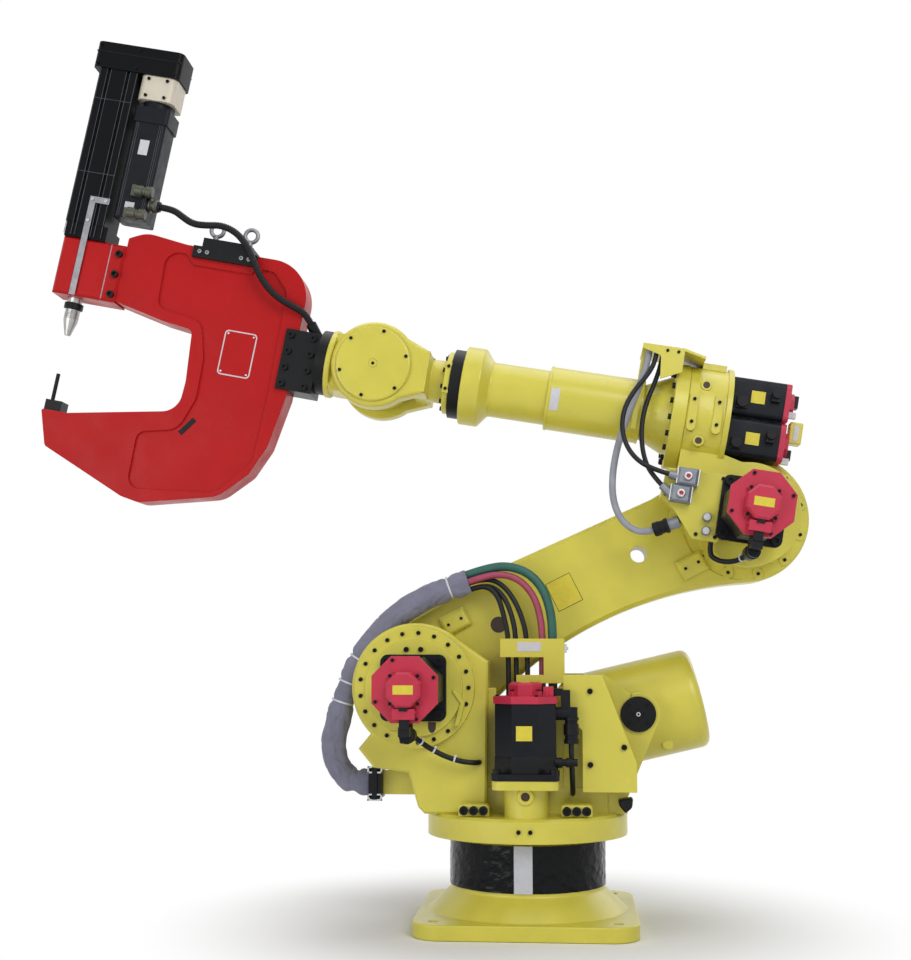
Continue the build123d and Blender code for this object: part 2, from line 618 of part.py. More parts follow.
def sleeve_clamp():
    """Clamp that grips the low end of the hose sleeve."""
    clamp = extrude(RectangleRounded(SLEEVE_CLAMP_HEIGHT, SLEEVE_CLAMP_WIDTH, SLEEVE_CLAMP_CORNER),
                    SLEEVE_CLAMP_LENGTH)
    middle = SLEEVE_ARM_LOW + SLEEVE_ARM_HEIGHT / 2
    return Pos(DECK_FRONT + SLEEVE_ARM_LENGTH, SLEEVE_Y, middle) * Rot(0, 90, 0) * clamp


def hub_point(turn, centre):
    """A point on the rim of an arm hub, by its angle from the arm's front."""
    return (ARM_HUB_RADIUS * cos(radians(turn)), centre + ARM_HUB_RADIUS * sin(radians(turn)))


def tangent_turn(x, z, side):
    """The angle on a hub's rim where a line from a point beside the hub runs off smoothly."""
    return degrees(atan2(z, x) - side * acos(ARM_HUB_RADIUS / hypot(x, z)))


def arm_rim_relief():
    """The shallow groove round the elbow hub's near rim, with a pad left standing at each bolt."""
    floor = ARM_NEAR - ARM_RIM_DEPTH
    top = ARM_NEAR + CUT_OVERRUN
    groove = disc_y(ARM_RIM_OUTER, floor, top) - disc_y(ARM_RIM_INNER, floor - CUT_OVERRUN, top + CUT_OVERRUN)
    circle = (ARM_RIM_OUTER + ARM_RIM_INNER) / 2
    for index in range(ARM_RIM_PADS):
        turn = radians(ARM_RIM_PAD_TURN + index * 360 / ARM_RIM_PADS)
        groove -= disc_y(ARM_RIM_PAD_RADIUS, floor - CUT_OVERRUN, top + CUT_OVERRUN,
                         circle * cos(turn), circle * sin(turn))
    return groove


def lower_arm_casting():
    """Curved arm between the shoulder and elbow hubs, with the clevis for the balancer rod."""
    front_low, front_high = scaled(ARM_FRONT_SHARES, ARM_FRONT, ARM_LENGTH)
    low_turn = tangent_turn(*front_low, 1)
    high_turn = tangent_turn(front_high[0], front_high[1] - ARM_LENGTH, -1)
    middle = ARM_LENGTH / 2
    hub_step = ARM_HUB_RADIUS - ARM_WAIST
    waist_centre = (middle ** 2 - hub_step ** 2) / (2 * hub_step)
    rear_turn = 180 - degrees(atan2(middle, waist_centre))
    rear_low = hub_point(rear_turn, 0)
    rear_high = hub_point(-rear_turn, ARM_LENGTH)
    outline = [
        Polyline(hub_point(low_turn, 0), front_low, front_high, hub_point(high_turn, ARM_LENGTH)),
        ThreePointArc(hub_point(high_turn, ARM_LENGTH), hub_point(ARM_TOP_TURN, ARM_LENGTH), rear_high),
        ThreePointArc(rear_high, (-ARM_WAIST, middle), rear_low),
        ThreePointArc(rear_low, hub_point(-ARM_TOP_TURN, 0), hub_point(low_turn, 0)),
    ]
    arm = extrude(Plane.XZ.offset(-ARM_NEAR) * make_face(outline), amount=ARM_THICK)
    arm = chamfer(outer_edges(arm, Axis.Y, -1) + outer_edges(arm, Axis.Y, 0), ARM_EDGE_BEVEL)
    arm -= disc_y(ARM_EYE_RADIUS, ARM_FAR - CUT_OVERRUN, ARM_NEAR + CUT_OVERRUN,
                  ARM_EYE_OFFSET, ARM_EYE_PLACE)
    arm -= Pos(0, 0, ARM_LENGTH) * arm_rim_relief()
    slot_half = ROD_EYE_WIDTH / 2 + RUN_GAP
    ear_half = slot_half + LUG_EAR_THICK
    lug = disc_y(LUG_EAR_RADIUS, BALANCER_Y - ear_half, BALANCER_Y + ear_half, -LUG_REACH)
    lug += block(-LUG_REACH, 0, BALANCER_Y - ear_half, BALANCER_Y + ear_half, -LUG_EAR_RADIUS, LUG_EAR_RADIUS)
    slot_reach = ROD_EYE_RADIUS + RUN_GAP
    slot = block(-2 * LUG_REACH, slot_reach - LUG_REACH, BALANCER_Y - slot_half, BALANCER_Y + slot_half,
                 -2 * LUG_EAR_RADIUS, 2 * LUG_EAR_RADIUS)
    pin = disc_y(ROD_PIN_RADIUS, BALANCER_Y - ear_half, BALANCER_Y + ear_half, -LUG_REACH)
    return arm + lug - slot + pin


def lower_arm_stops():
    """Stop blocks bolted to the near face of the lower arm."""
    stop = block(-ARM_STOP_WIDTH / 2, ARM_STOP_WIDTH / 2, 0, ARM_STOP_THICK,
                 -ARM_STOP_LENGTH / 2, ARM_STOP_LENGTH / 2)
    stop = chamfer(outer_edges(stop, Axis.Y, -1), ARM_STOP_BEVEL)
    places = scaled([ARM_STOP_LOW_SHARES], ARM_FRONT, ARM_LENGTH)
    places.append((ARM_STOP_HIGH_SHARE * ARM_FRONT, ARM_LENGTH - ARM_STOP_HIGH_DROP))
    return [Pos(x, ARM_NEAR, z) * stop for x, z in places]


def lower_arm_caps():
    """Round covers on the far face of the arm, over its two hubs."""
    cap = disc_y(ARM_CAP_RADIUS, ARM_FAR - ARM_CAP_THICK, ARM_FAR)
    cap = chamfer(outer_edges(cap, Axis.Y, 0), ARM_CAP_BEVEL)
    return [cap, Pos(0, 0, ARM_LENGTH) * cap]


def balancer_cylinder():
    """Hollow balancer body with a wide mouth, a closed round end and two trunnion pins."""
    inner = CYLINDER_RADIUS - CYLINDER_WALL
    body = turned_x([
        (CYLINDER_FRONT, CYLINDER_MOUTH_RADIUS), (CYLINDER_FRONT, CYLINDER_RADIUS),
        (CYLINDER_END_ROUND - CYLINDER_REAR, CYLINDER_RADIUS),
        (-CYLINDER_REAR, CYLINDER_RADIUS - CYLINDER_END_ROUND), (-CYLINDER_REAR, 0),
        (CYLINDER_WALL - CYLINDER_REAR, 0), (CYLINDER_WALL - CYLINDER_REAR, inner - CYLINDER_END_ROUND),
        (CYLINDER_END_ROUND - CYLINDER_REAR, inner), (CYLINDER_FRONT - CYLINDER_WALL, inner),
        (CYLINDER_FRONT - CYLINDER_WALL, CYLINDER_MOUTH_RADIUS),
    ])
    pin_root = CYLINDER_RADIUS - CYLINDER_WALL / 2
    pin_tip = BRACKET_SPACE + BRACKET_THICK
    body += disc_y(TRUNNION_RADIUS, pin_root, BRACKET_SPACE - SEAT_GAP)
    body += disc_y(TRUNNION_RADIUS, SEAT_GAP - BRACKET_SPACE, -pin_root)
    body += disc_y(TRUNNION_PIN_RADIUS, pin_root, pin_tip)
    return body + disc_y(TRUNNION_PIN_RADIUS, -pin_tip, -pin_root)


def trunnion_caps():
    """Round bolted caps over the trunnion pins, on the outside of both brackets."""
    outer = BRACKET_SPACE + BRACKET_THICK + SEAT_GAP
    near = disc_y(TRUNNION_CAP_RADIUS, BALANCER_Y + outer, BALANCER_Y + outer + TRUNNION_CAP_THICK,
                  TRUNNION_X, TRUNNION_Z)
    far = disc_y(TRUNNION_CAP_RADIUS, BALANCER_Y - outer - TRUNNION_CAP_THICK, BALANCER_Y - outer,
                 TRUNNION_X, TRUNNION_Z)
    return [near, far]


def balancer_rod():
    """Rod with the eye that turns on the lower arm's clevis pin."""
    rod = disc_x(ROD_RADIUS, -ROD_LENGTH, 0)
    rod += disc_y(ROD_EYE_RADIUS, -ROD_EYE_WIDTH / 2, ROD_EYE_WIDTH / 2)
    return rod - disc_y(ROD_PIN_RADIUS + SEAT_GAP, -ROD_EYE_WIDTH, ROD_EYE_WIDTH)


def elbow_casing():
    """Elbow housing: a boss about the elbow axis, a web and the round wrist gearbox."""
    arm_room = disc_y(ARM_HUB_RADIUS + RUN_GAP, ARM_FAR - RUN_GAP, ARM_NEAR + RUN_GAP)
    arm_room += block(0, GEARBOX_FRONT, ARM_FAR - RUN_GAP, ARM_NEAR + RUN_GAP, 0, GEARBOX_FAR_LOW)
    gearbox = Pos(0, 0, ELBOW_OFFSET) * disc_x(GEARBOX_RADIUS, GEARBOX_REAR, GEARBOX_FRONT - SEAT_GAP)
    plate = Pos(0, 0, ELBOW_OFFSET) * disc_x(GEARBOX_RADIUS + GEARBOX_LIP, GEARBOX_REAR,
                                             GEARBOX_REAR + GEARBOX_PLATE_THICK)
    web = plate_y(scaled(ELBOW_WEB_SHARES, GEARBOX_FRONT - SEAT_GAP, ELBOW_OFFSET),
                  ARM_NEAR + RUN_GAP, ELBOW_NEAR)
    casing = gearbox + plate + web - arm_room
    casing += disc_y(ELBOW_BOSS_RADIUS, ARM_NEAR + SEAT_GAP, ELBOW_NEAR)
    casing += disc_y(ELBOW_PAD_RADIUS, ELBOW_NEAR, ELBOW_MOTOR_SEAT)
    return casing + gearbox_pads()


def gearbox_pads():
    """Two long pads and two round bosses on the near side of the wrist gearbox."""
    pad_face = GEARBOX_RADIUS + GEARBOX_PAD_RISE
    half = GEARBOX_PAD_LENGTH / 2 - GEARBOX_PAD_RADIUS
    pads = []
    for share in GEARBOX_PAD_SHARES:
        x = GEARBOX_REAR + share * (GEARBOX_FRONT - GEARBOX_REAR)
        pad = block(x - GEARBOX_PAD_RADIUS, x + GEARBOX_PAD_RADIUS, ELBOW_NEAR, pad_face,
                    ELBOW_OFFSET - half, ELBOW_OFFSET + half)
        pad += disc_y(GEARBOX_PAD_RADIUS, ELBOW_NEAR, pad_face, x, ELBOW_OFFSET - half)
        pad += disc_y(GEARBOX_PAD_RADIUS, ELBOW_NEAR, pad_face, x, ELBOW_OFFSET + half)
        pads.append(pad)
    for side in (-1, 1):
        pads.append(disc_y(GEARBOX_PLUG_RADIUS, ELBOW_NEAR, GEARBOX_PLUG_FACE, GEARBOX_PLUG_X,
                           ELBOW_OFFSET + side * GEARBOX_PLUG_OFFSET))
    return pads[0] + pads[1] + pads[2] + pads[3]


def wrist_motor_places():
    """Centres of the three wrist motors in Y and Z, behind the gearbox."""
    step = WRIST_MOTOR_WIDTH + WRIST_MOTOR_GAP
    return [(step / 2, WRIST_MOTOR_ROW), (-step / 2, WRIST_MOTOR_ROW), (step / 2, WRIST_MOTOR_ROW - step)]


def wrist_motors():
    """Three square motors side by side on the back of the gearbox."""
    section = RectangleRounded(WRIST_MOTOR_WIDTH, WRIST_MOTOR_WIDTH, WRIST_MOTOR_CORNER)
    motor = extrude(section, WRIST_MOTOR_LENGTH)
    return [Pos(GEARBOX_REAR, y, z) * Rot(0, -90, 0) * motor for y, z in wrist_motor_places()]


def wrist_motor_caps():
    """End caps of the wrist motors, each with a raised cover."""
    section = RectangleRounded(WRIST_MOTOR_WIDTH, WRIST_MOTOR_WIDTH, WRIST_MOTOR_CORNER)
    cap = extrude(section, WRIST_MOTOR_CAP_THICK)
    cover = extrude(octagon(WRIST_MOTOR_WIDTH * WRIST_MOTOR_COVER_SHARE), WRIST_MOTOR_COVER_THICK)
    cap += Pos(0, 0, WRIST_MOTOR_CAP_THICK) * cover
    start = GEARBOX_REAR - WRIST_MOTOR_LENGTH
    return [Pos(start, y, z) * Rot(0, -90, 0) * cap for y, z in wrist_motor_places()]


def connector_box():
    """Slanted terminal box on the near side of the elbow."""
    outline = scaled(BOX_OUTLINE_SHARES, BOX_REACH, BOX_REACH)
    return plate_y(outline, ELBOW_NEAR, ELBOW_NEAR + BOX_THICK, BOX_CORNER)


def connector_plugs():
    """Two square plugs with side glands on the face of the terminal box."""
    face = ELBOW_NEAR + BOX_THICK
    shell = block(-PLUG_LENGTH / 2, PLUG_LENGTH / 2, 0, PLUG_DEPTH, -PLUG_HEIGHT / 2, PLUG_HEIGHT / 2)
    shell = chamfer(outer_edges(shell, Axis.Y, -1), PLUG_BEVEL)
    plugs = []
    for (x, z), route in zip(scaled(PLUG_PLACES_SHARES, BOX_REACH, BOX_REACH), ELBOW_CABLE_ROUTES.values()):
        plug = Pos(x, face, z) * shell
        plugs.append(plug + plug_along(route, PLUG_GLAND_DIAMETER, PLUG_GLAND_LENGTH, connector_box()))
    return plugs


def connector_ports():
    """Two capped round ports on the face of the terminal box, and the round plug on its slanted edge."""
    face = ELBOW_NEAR + BOX_THICK
    ports = [disc_y(PORT_RADIUS, face, face + PORT_LENGTH, x, z)
             for x, z in scaled(PORT_PLACES_SHARES, BOX_REACH, BOX_REACH)]
    return ports + [plug_along(GREY_CABLE_ROUTE, ROUND_PLUG_DIAMETER, ROUND_PLUG_LENGTH, connector_box())]


def cable_hood():
    """Bent sheet hood over the forearm flange, with a front panel, a leg and a strap to the gearbox."""
    hood_low = ELBOW_OFFSET + FLANGE_RADIUS + HOOD_RISE
    hood_high = hood_low + HOOD_THICK
    gearbox_top = ELBOW_OFFSET + GEARBOX_RADIUS
    top = block(HOOD_REAR, HOOD_FRONT, -HOOD_RIGHT, HOOD_LEFT, hood_low, hood_high)
    outline = scaled(HOOD_PANEL_SHARES, HOOD_FRONT - HOOD_REAR, HOOD_PANEL_HEIGHT, HOOD_REAR, hood_high)
    panel = plate_y(outline, HOOD_LEFT - HOOD_PANEL_THICK, HOOD_LEFT)
    leg = block(HOOD_FRONT - HOOD_LEG_WIDTH, HOOD_FRONT, HOOD_LEG_OUTER - HOOD_LEG_THICK, HOOD_LEG_OUTER,
                hood_low - HOOD_LEG_LENGTH, hood_low)
    strap_rear = HOOD_REAR - HOOD_STRAP_LENGTH
    strap = plate_y([
        (HOOD_REAR, hood_high), (strap_rear, gearbox_top + HOOD_THICK), (strap_rear, gearbox_top),
        (HOOD_REAR, hood_low),
    ], -HOOD_RIGHT, HOOD_LEFT)
    foot_rear = strap_rear - HOOD_FOOT_LENGTH
    foot = block(foot_rear, strap_rear, -HOOD_RIGHT, HOOD_RIGHT, gearbox_top - HOOD_FOOT_SEAT,
                 gearbox_top + HOOD_THICK)
    seat = disc_x(GEARBOX_RADIUS + SEAT_GAP, foot_rear - CUT_OVERRUN, HOOD_REAR, 0, ELBOW_OFFSET)
    return top + panel + leg + (strap - seat) + (foot - seat)


def forearm_tube():
    """Turned forearm with its bolted flange, cone, straight tube and bell end."""
    return turned_x([
        (GEARBOX_FRONT, 0), (GEARBOX_FRONT, FLANGE_RADIUS), (GEARBOX_FRONT + FLANGE_THICK, FLANGE_RADIUS),
        (GEARBOX_FRONT + FLANGE_THICK, CONE_RADIUS), (CONE_END, TUBE_RADIUS), (BELL_START, TUBE_RADIUS),
        (BELL_FACE - BELL_THICK, BELL_RADIUS), (BELL_FACE, BELL_RADIUS), (BELL_FACE, 0),
    ])


def forearm_cover():
    """Sheet cover wrapped round the forearm tube."""
    cover = disc_x(COVER_RADIUS, CONE_END, COVER_END)
    return cover - disc_x(COVER_BORE, CONE_END - CUT_OVERRUN, COVER_END + CUT_OVERRUN)


def wrist_ring():
    """Ring clamped between the forearm's bell and the wrist yoke."""
    return disc_x(WRIST_RING_RADIUS, BELL_FACE, YOKE_START)


def wrist_yoke():
    """Flanged neck that spreads into two round cheeks about the wrist axis."""
    neck_start = YOKE_START + YOKE_FLANGE_THICK
    web_front = FOREARM_LENGTH - YOKE_WEB_REACH
    web_rear = web_front - YOKE_WEB_THICK
    neck = turned_x([
        (YOKE_START, 0), (YOKE_START, YOKE_FLANGE_RADIUS), (neck_start, YOKE_FLANGE_RADIUS),
        (neck_start, YOKE_NECK_RADIUS), (web_front, YOKE_ROOT), (web_front, 0),
    ])
    web = block(web_rear, web_front, -YOKE_OUTER, YOKE_OUTER, -YOKE_ROOT, YOKE_ROOT)
    outline = [(web_rear, YOKE_ROOT), (web_rear, -YOKE_ROOT), (FOREARM_LENGTH, -YOKE_CHEEK_RADIUS),
               (FOREARM_LENGTH, YOKE_CHEEK_RADIUS)]
    cheek = plate_y(outline, YOKE_INNER, YOKE_OUTER)
    cheek += disc_y(YOKE_CHEEK_RADIUS, YOKE_INNER, YOKE_OUTER, FOREARM_LENGTH)
    cheek = chamfer(outer_edges(cheek, Axis.Y, -1), YOKE_BEVEL)
    return neck + web + cheek + mirror(cheek, about=Plane.XZ)


def yoke_covers():
    """Round bolted covers on the outside of both yoke cheeks."""
    cover = disc_y(YOKE_COVER_RADIUS, YOKE_OUTER, YOKE_OUTER + YOKE_COVER_THICK, FOREARM_LENGTH)
    cover = chamfer(outer_edges(cover, Axis.Y, -1), YOKE_COVER_BEVEL)
    cover -= disc_y(YOKE_COVER_HOLE, YOKE_OUTER - CUT_OVERRUN, YOKE_OUTER + YOKE_COVER_THICK + CUT_OVERRUN,
                    FOREARM_LENGTH)
    return [cover, mirror(cover, about=Plane.XZ)]


def wrist_housing():
    """Wrist drum between the yoke cheeks, with the flange that carries the tool."""
    flange_start = WRIST_FLANGE_FACE - WRIST_FLANGE_THICK
    pivot_end = YOKE_INNER - SEAT_GAP
    drum = disc_y(WRIST_DRUM_RADIUS, -WRIST_HALF_WIDTH, WRIST_HALF_WIDTH)
    drum += disc_y(WRIST_PIVOT_RADIUS, -pivot_end, pivot_end)
    drum += block(0, flange_start, -WRIST_HALF_WIDTH, WRIST_HALF_WIDTH,
                  -WRIST_BLOCK_HEIGHT / 2, WRIST_BLOCK_HEIGHT / 2)
    return drum + disc_x(WRIST_FLANGE_RADIUS, flange_start, WRIST_FLANGE_FACE)


def tool_ring():
    """Ring of the turning wrist flange that the tool bolts to."""
    return disc_x(TOOL_RING_RADIUS, TOOL_START, ADAPTER_START)


def tool_adapter():
    """Bolted plate with two cheeks that grip the back of the C-frame."""
    low = -ADAPTER_HEIGHT / 2 - ADAPTER_DROP
    high = ADAPTER_HEIGHT / 2 - ADAPTER_DROP
    cheek_inner = FRAME_THICK / 2
    adapter = block(ADAPTER_START, ADAPTER_START + ADAPTER_PLATE_THICK,
                    -ADAPTER_WIDTH / 2, ADAPTER_WIDTH / 2, low, high)
    adapter += block(ADAPTER_START, FRAME_REAR - SEAT_GAP, -cheek_inner, cheek_inner, low, high)
    for side in (-1, 1):
        inner, outer = sorted((side * cheek_inner, side * (cheek_inner + ADAPTER_CHEEK_THICK)))
        adapter += block(ADAPTER_START, ADAPTER_CHEEK_FRONT, inner, outer, low, high)
    return adapter


def c_frame():
    """Thick C-shaped plate with a shallow pocket milled in each face."""
    outline = scaled(FRAME_OUTLINE_SHARES, FRAME_REACH, FRAME_TOP, FRAME_REAR)
    half = FRAME_THICK / 2
    frame = curved_plate_y(outline, FRAME_CORNERS, -half, half)
    pocket = scaled(FRAME_POCKET_SHARES, FRAME_REACH, FRAME_TOP, FRAME_REAR)
    frame -= curved_plate_y(pocket, FRAME_POCKET_CORNERS, half - FRAME_POCKET_DEPTH, half + CUT_OVERRUN)
    return frame - curved_plate_y(pocket, FRAME_POCKET_CORNERS, -half - CUT_OVERRUN, FRAME_POCKET_DEPTH - half)


def head_block():
    """Bored block at the tip of the upper jaw that guides the punch."""
    head = block(FRAME_HEAD, HEAD_FRONT, -HEAD_WIDTH / 2, HEAD_WIDTH / 2, HEAD_LOW, HEAD_HIGH)
    head = chamfer(outer_edges(head, Axis.Y, -1) + outer_edges(head, Axis.Y, 0), HEAD_BEVEL)
    bore_top = HEAD_LOW + PUNCH_INSIDE + PUNCH_BORE_SPARE
    return head - disc_z(PUNCH_RADIUS + PUNCH_GAP, HEAD_LOW - CUT_OVERRUN, bore_top, RAM_X)


def actuator_column():
    """Square actuator tube with long grooves, on a wider collar."""
    half = COLUMN_LENGTH / 2
    column_low = HEAD_HIGH + COLLAR_HEIGHT
    column = block(RAM_X - half, RAM_X + half, -COLUMN_WIDTH / 2, COLUMN_WIDTH / 2, column_low, COLUMN_TOP)
    for share in COLUMN_GROOVE_SHARES:
        for side in (-1, 1):
            depth = side * (COLUMN_WIDTH / 2)
            column -= Pos(RAM_X + share * COLUMN_LENGTH, depth, (column_low + COLUMN_TOP) / 2) * Box(
                COLUMN_GROOVE_WIDTH, 2 * COLUMN_GROOVE_DEPTH, COLUMN_TOP - column_low)
        column -= Pos(RAM_X + half, share * COLUMN_WIDTH, (column_low + COLUMN_TOP) / 2) * Box(
            2 * COLUMN_GROOVE_DEPTH, COLUMN_GROOVE_WIDTH, COLUMN_TOP - column_low)
    collar = block(HEAD_FRONT - COLLAR_LENGTH, HEAD_FRONT, -HEAD_WIDTH / 2, HEAD_WIDTH / 2,
                   HEAD_HIGH, column_low)
    return column + collar


def belt_housing():
    """Rounded housing of the belt drive across the actuator and its motor."""
    length = BELT_FRONT - BELT_REAR
    housing = extrude(RectangleRounded(length, BELT_WIDTH, BELT_CORNER), BELT_HEIGHT)
    return Pos((BELT_FRONT + BELT_REAR) / 2, 0, COLUMN_TOP) * housing


def drive_gearbox():
    """Square gearbox between the belt drive and the tool's motor."""
    gearbox = extrude(RectangleRounded(DRIVE_WIDTH, DRIVE_WIDTH, DRIVE_GEARBOX_CORNER), DRIVE_GEARBOX_HEIGHT)
    return Pos(DRIVE_X, 0, COLUMN_TOP - DRIVE_GEARBOX_HEIGHT) * gearbox


def drive_motor():
    """Square servo motor beside the actuator, with a wider flange, a neck and a round cable plug on its back."""
    neck_top = COLUMN_TOP - DRIVE_GEARBOX_HEIGHT
    height = neck_top - DRIVE_NECK_HEIGHT - DRIVE_MOTOR_LOW
    motor = extrude(RectangleRounded(DRIVE_BODY_WIDTH, DRIVE_BODY_WIDTH, DRIVE_MOTOR_CORNER), height)
    flange = extrude(RectangleRounded(DRIVE_MOTOR_WIDTH, DRIVE_MOTOR_WIDTH, DRIVE_MOTOR_CORNER), DRIVE_FLANGE_HEIGHT)
    motor += Pos(0, 0, height - DRIVE_FLANGE_HEIGHT) * flange
    motor += disc_z(DRIVE_NECK_RADIUS, height, height + DRIVE_NECK_HEIGHT)
    plug_start = DRIVE_X - DRIVE_MOTOR_WIDTH / 2
    plug = disc_x(DRIVE_PLUG_RADIUS, plug_start - DRIVE_PLUG_LENGTH, DRIVE_X, DRIVE_PLUG_Y, DRIVE_PLUG_Z)
    return Pos(DRIVE_X, 0, DRIVE_MOTOR_LOW) * motor + plug


def strip_bracket():
    """Bent flat strip screwed to the face of the actuator, reaching down past the head."""
    face = COLUMN_WIDTH / 2
    strip = block(RAM_X - STRIP_WIDTH, RAM_X, face, face + STRIP_THICK, STRIP_LOW, STRIP_HIGH)
    return strip + block(RAM_X - STRIP_FOOT, RAM_X, face, face + STRIP_THICK,
                         STRIP_HIGH - STRIP_WIDTH, STRIP_HIGH)


def lifting_saddle():
    """Channel over the top edge of the C-frame that carries the lifting eyes."""
    half = FRAME_THICK / 2
    outer = half + SADDLE_THICK
    top = block(SADDLE_REAR + SADDLE_STEP, SADDLE_FRONT - SADDLE_STEP, -outer, outer,
                SADDLE_SEAT, SADDLE_SEAT + SADDLE_RISE)
    sides = block(SADDLE_REAR, SADDLE_FRONT, half, outer, SADDLE_SEAT - SADDLE_SIDE_HEIGHT, SADDLE_SEAT)
    sides += block(SADDLE_REAR, SADDLE_FRONT, -outer, -half, SADDLE_SEAT - SADDLE_SIDE_HEIGHT, SADDLE_SEAT)
    return top + sides


def lifting_eyes():
    """Two eye bolts on the saddle."""
    ring_rise = EYE_SHANK_LENGTH + EYE_RING_RADIUS
    eye = Pos(0, 0, ring_rise) * Rot(90, 0, 0) * Torus(EYE_RING_RADIUS, EYE_BAR_RADIUS)
    eye += disc_z(EYE_SHANK_RADIUS, 0, EYE_SHANK_LENGTH)
    eye += disc_z(EYE_COLLAR_RADIUS, 0, EYE_COLLAR_THICK)
    length = SADDLE_FRONT - SADDLE_REAR
    places = [SADDLE_REAR + share * length for share in EYE_PLACES_SHARES]
    return [Pos(place, 0, SADDLE_SEAT + SADDLE_RISE) * eye for place in places]


def die_post():
    """Die block on the lower jaw with its slim locating pin."""
    front = RAM_X + DIE_FRONT
    pin_low = DIE_SEAT + DIE_HEIGHT
    die = block(front - DIE_LENGTH, front, -DIE_WIDTH / 2, DIE_WIDTH / 2, DIE_SEAT, pin_low)
    return die + disc_z(DIE_PIN_RADIUS, pin_low, pin_low + DIE_PIN_LENGTH, RAM_X)


def cable_plug():
    """Round plug on top of the adapter where the tool's conduit ends."""
    return plug_along(CONDUIT_ROUTE, CABLE_PLUG_DIAMETER, CABLE_PLUG_LENGTH, tool_adapter())


def punch():
    """Stepped punch that slides out of the head block."""
    tip = HEAD_LOW - PUNCH_SHANK - PUNCH_NOSE
    profile = [
        (0, tip), (PUNCH_TIP_RADIUS, tip), (PUNCH_RADIUS, HEAD_LOW - PUNCH_SHANK),
        (PUNCH_RADIUS, HEAD_LOW + PUNCH_INSIDE), (0, HEAD_LOW + PUNCH_INSIDE),
    ]
    return Pos(RAM_X, 0, 0) * turned_z(profile)


def cord(name, points, diameter):
    """A tube along straight runs and arcs as large as the runs allow."""
    spots = [Vector(*point) for point in points]
    runs = [after - before for before, after in zip(spots, spots[1:])]
    radii = []
    for first, second in zip(runs, runs[1:]):
        half_turn = radians(first.get_angle(second)) / 2
        radii.append(CORD_RUN_SHARE * min(first.length, second.length) / tan(half_turn))
    path = FilletPolyline(*spots, radius=radii)
    section = Plane(origin=spots[0], z_dir=runs[0]) * Circle(diameter / 2)
    tube = sweep(section, path=path)
    print(name, "length", round(path.length), "radii", [round(radius) for radius in radii],
          "volume share", round(tube.volume / (section.area * path.length), 4))
    return tube


# Cable routes, as points chosen along each run
SLEEVE_ROUTE = [
    (450.3, 75, 398), (490, 75, 398), (526, 75, 416), (550, 75, 449), (557, 75, 492), (552, 75, 545),
    (538, 75, 606), (516, 75, 672), (486, 75, 742), (438, 75, 812), (378, 75, 872), (308, 75, 920),
    (236, 75, 950), (166, 75, 974),
]
GREEN_HOSE_ROUTE = [
    (171.9, 79, 992.1), (118, 79, 1010.6), (54, 85, 1020), (-8, 86, 1001), (-52, 86, 953), (-74, 86, 886),
    (-79, 86, 808), (-77, 86, 600), (-79, 86, 390.3),
]
RED_HOSE_ROUTE = [
    (165.1, 93, 972.2), (114, 93, 989.7), (58, 89, 995), (8, 86, 973), (-28, 86, 926), (-44, 86, 868),
    (-49, 86, 808), (-47, 86, 600), (-49, 86, 390.3),
]
DRESS_CABLE_ROUTES = {
    "dress_cable_front": [
        (157.9, 83, 951.4), (135, 83, 959.3), (112, 84, 958), (92, 85, 946), (77, 86, 924), (66, 86, 888),
        (56, 86, 845), (50, 86, 808), (49, 86, 600), (51, 86, 390.3),
    ],
    "dress_cable_middle": [
        (157.9, 65, 951.4), (123.9, 65, 963.1), (88, 70, 956), (57, 77, 922), (37, 83, 868), (27, 86, 808),
        (26, 86, 600), (28, 86, 390.3),
    ],
    "dress_cable_rear": [
        (164.1, 69, 969.4), (126.3, 69, 982.4), (84, 73, 977), (46, 78, 944), (14, 84, 884), (-6, 86, 808),
        (-5, 86, 600), (-7, 86, 390.3),
    ],
}
ELBOW_CABLE_ROUTES = {
    "elbow_cable_upper": [
        (330, 130, 434.7), (330, 130, 396), (346, 140, 352), (374, 150, 306), (396, 160, 252), (400, 170, 196),
        (384, 180, 142), (350, 188, 100), (302, 191, 76), (246, 191, 68),
    ],
    "elbow_cable_lower": [
        (312, 110, 434.7), (312, 110, 392), (322, 114, 336), (336, 121, 280), (342, 130, 222), (337, 142, 166),
        (323, 157, 112), (298, 171, 66), (260, 182, 34),
    ],
}
GREY_CABLE_ROUTE = [
    (352, 120, 434.7), (352, 120, 380), (366, 121, 312), (382, 122, 246), (394, 122, 180), (402, 120, 114),
    (402, 118, 48), (392, 118, -14), (368, 120, -64), (330, 126, -96), (286, 134, -104), (248, 140, -84),
]
MOTOR_CABLE_ROUTES = {
    "turning_motor_cable": [
        (-129, 215, 525.7), (-129, 215, 492), (-130, 211, 458), (-131, 198, 424), (-132, 176, 396),
        (-132, 146, 374), (-132, 116.3, 374),
    ],
    "shoulder_motor_cable": [
        (312, 305.7, 544), (312, 276, 544), (305, 249, 537), (288, 227, 520), (260, 210, 500), (226, 202, 482),
        (194, 202, 471), (166, 201, 465), (142, 194, 463), (130, 178, 462), (130, 160.3, 462),
    ],
}
ELBOW_MOTOR_CABLE_ROUTE = [
    (0, 278.7, -126), (0, 248, -126), (6, 219, -133), (22, 192, -145), (47, 170, -152), (74, 152, -150),
    (98, 142, -136), (98, 142, -101.7),
]
CONDUIT_ROUTE = [
    (768.7, 36, 385), (728, 36, 385), (690, 46, 364), (650, 62, 344), (604, 76, 342), (556, 80, 350),
    (508, 80, 338), (468, 80, 306), (437, 80, 264), (408, 80, 219), (370, 78, 180), (326, 76, 154),
    (282, 72, 140), (246, 60, 128), (228, 46, 104),
]


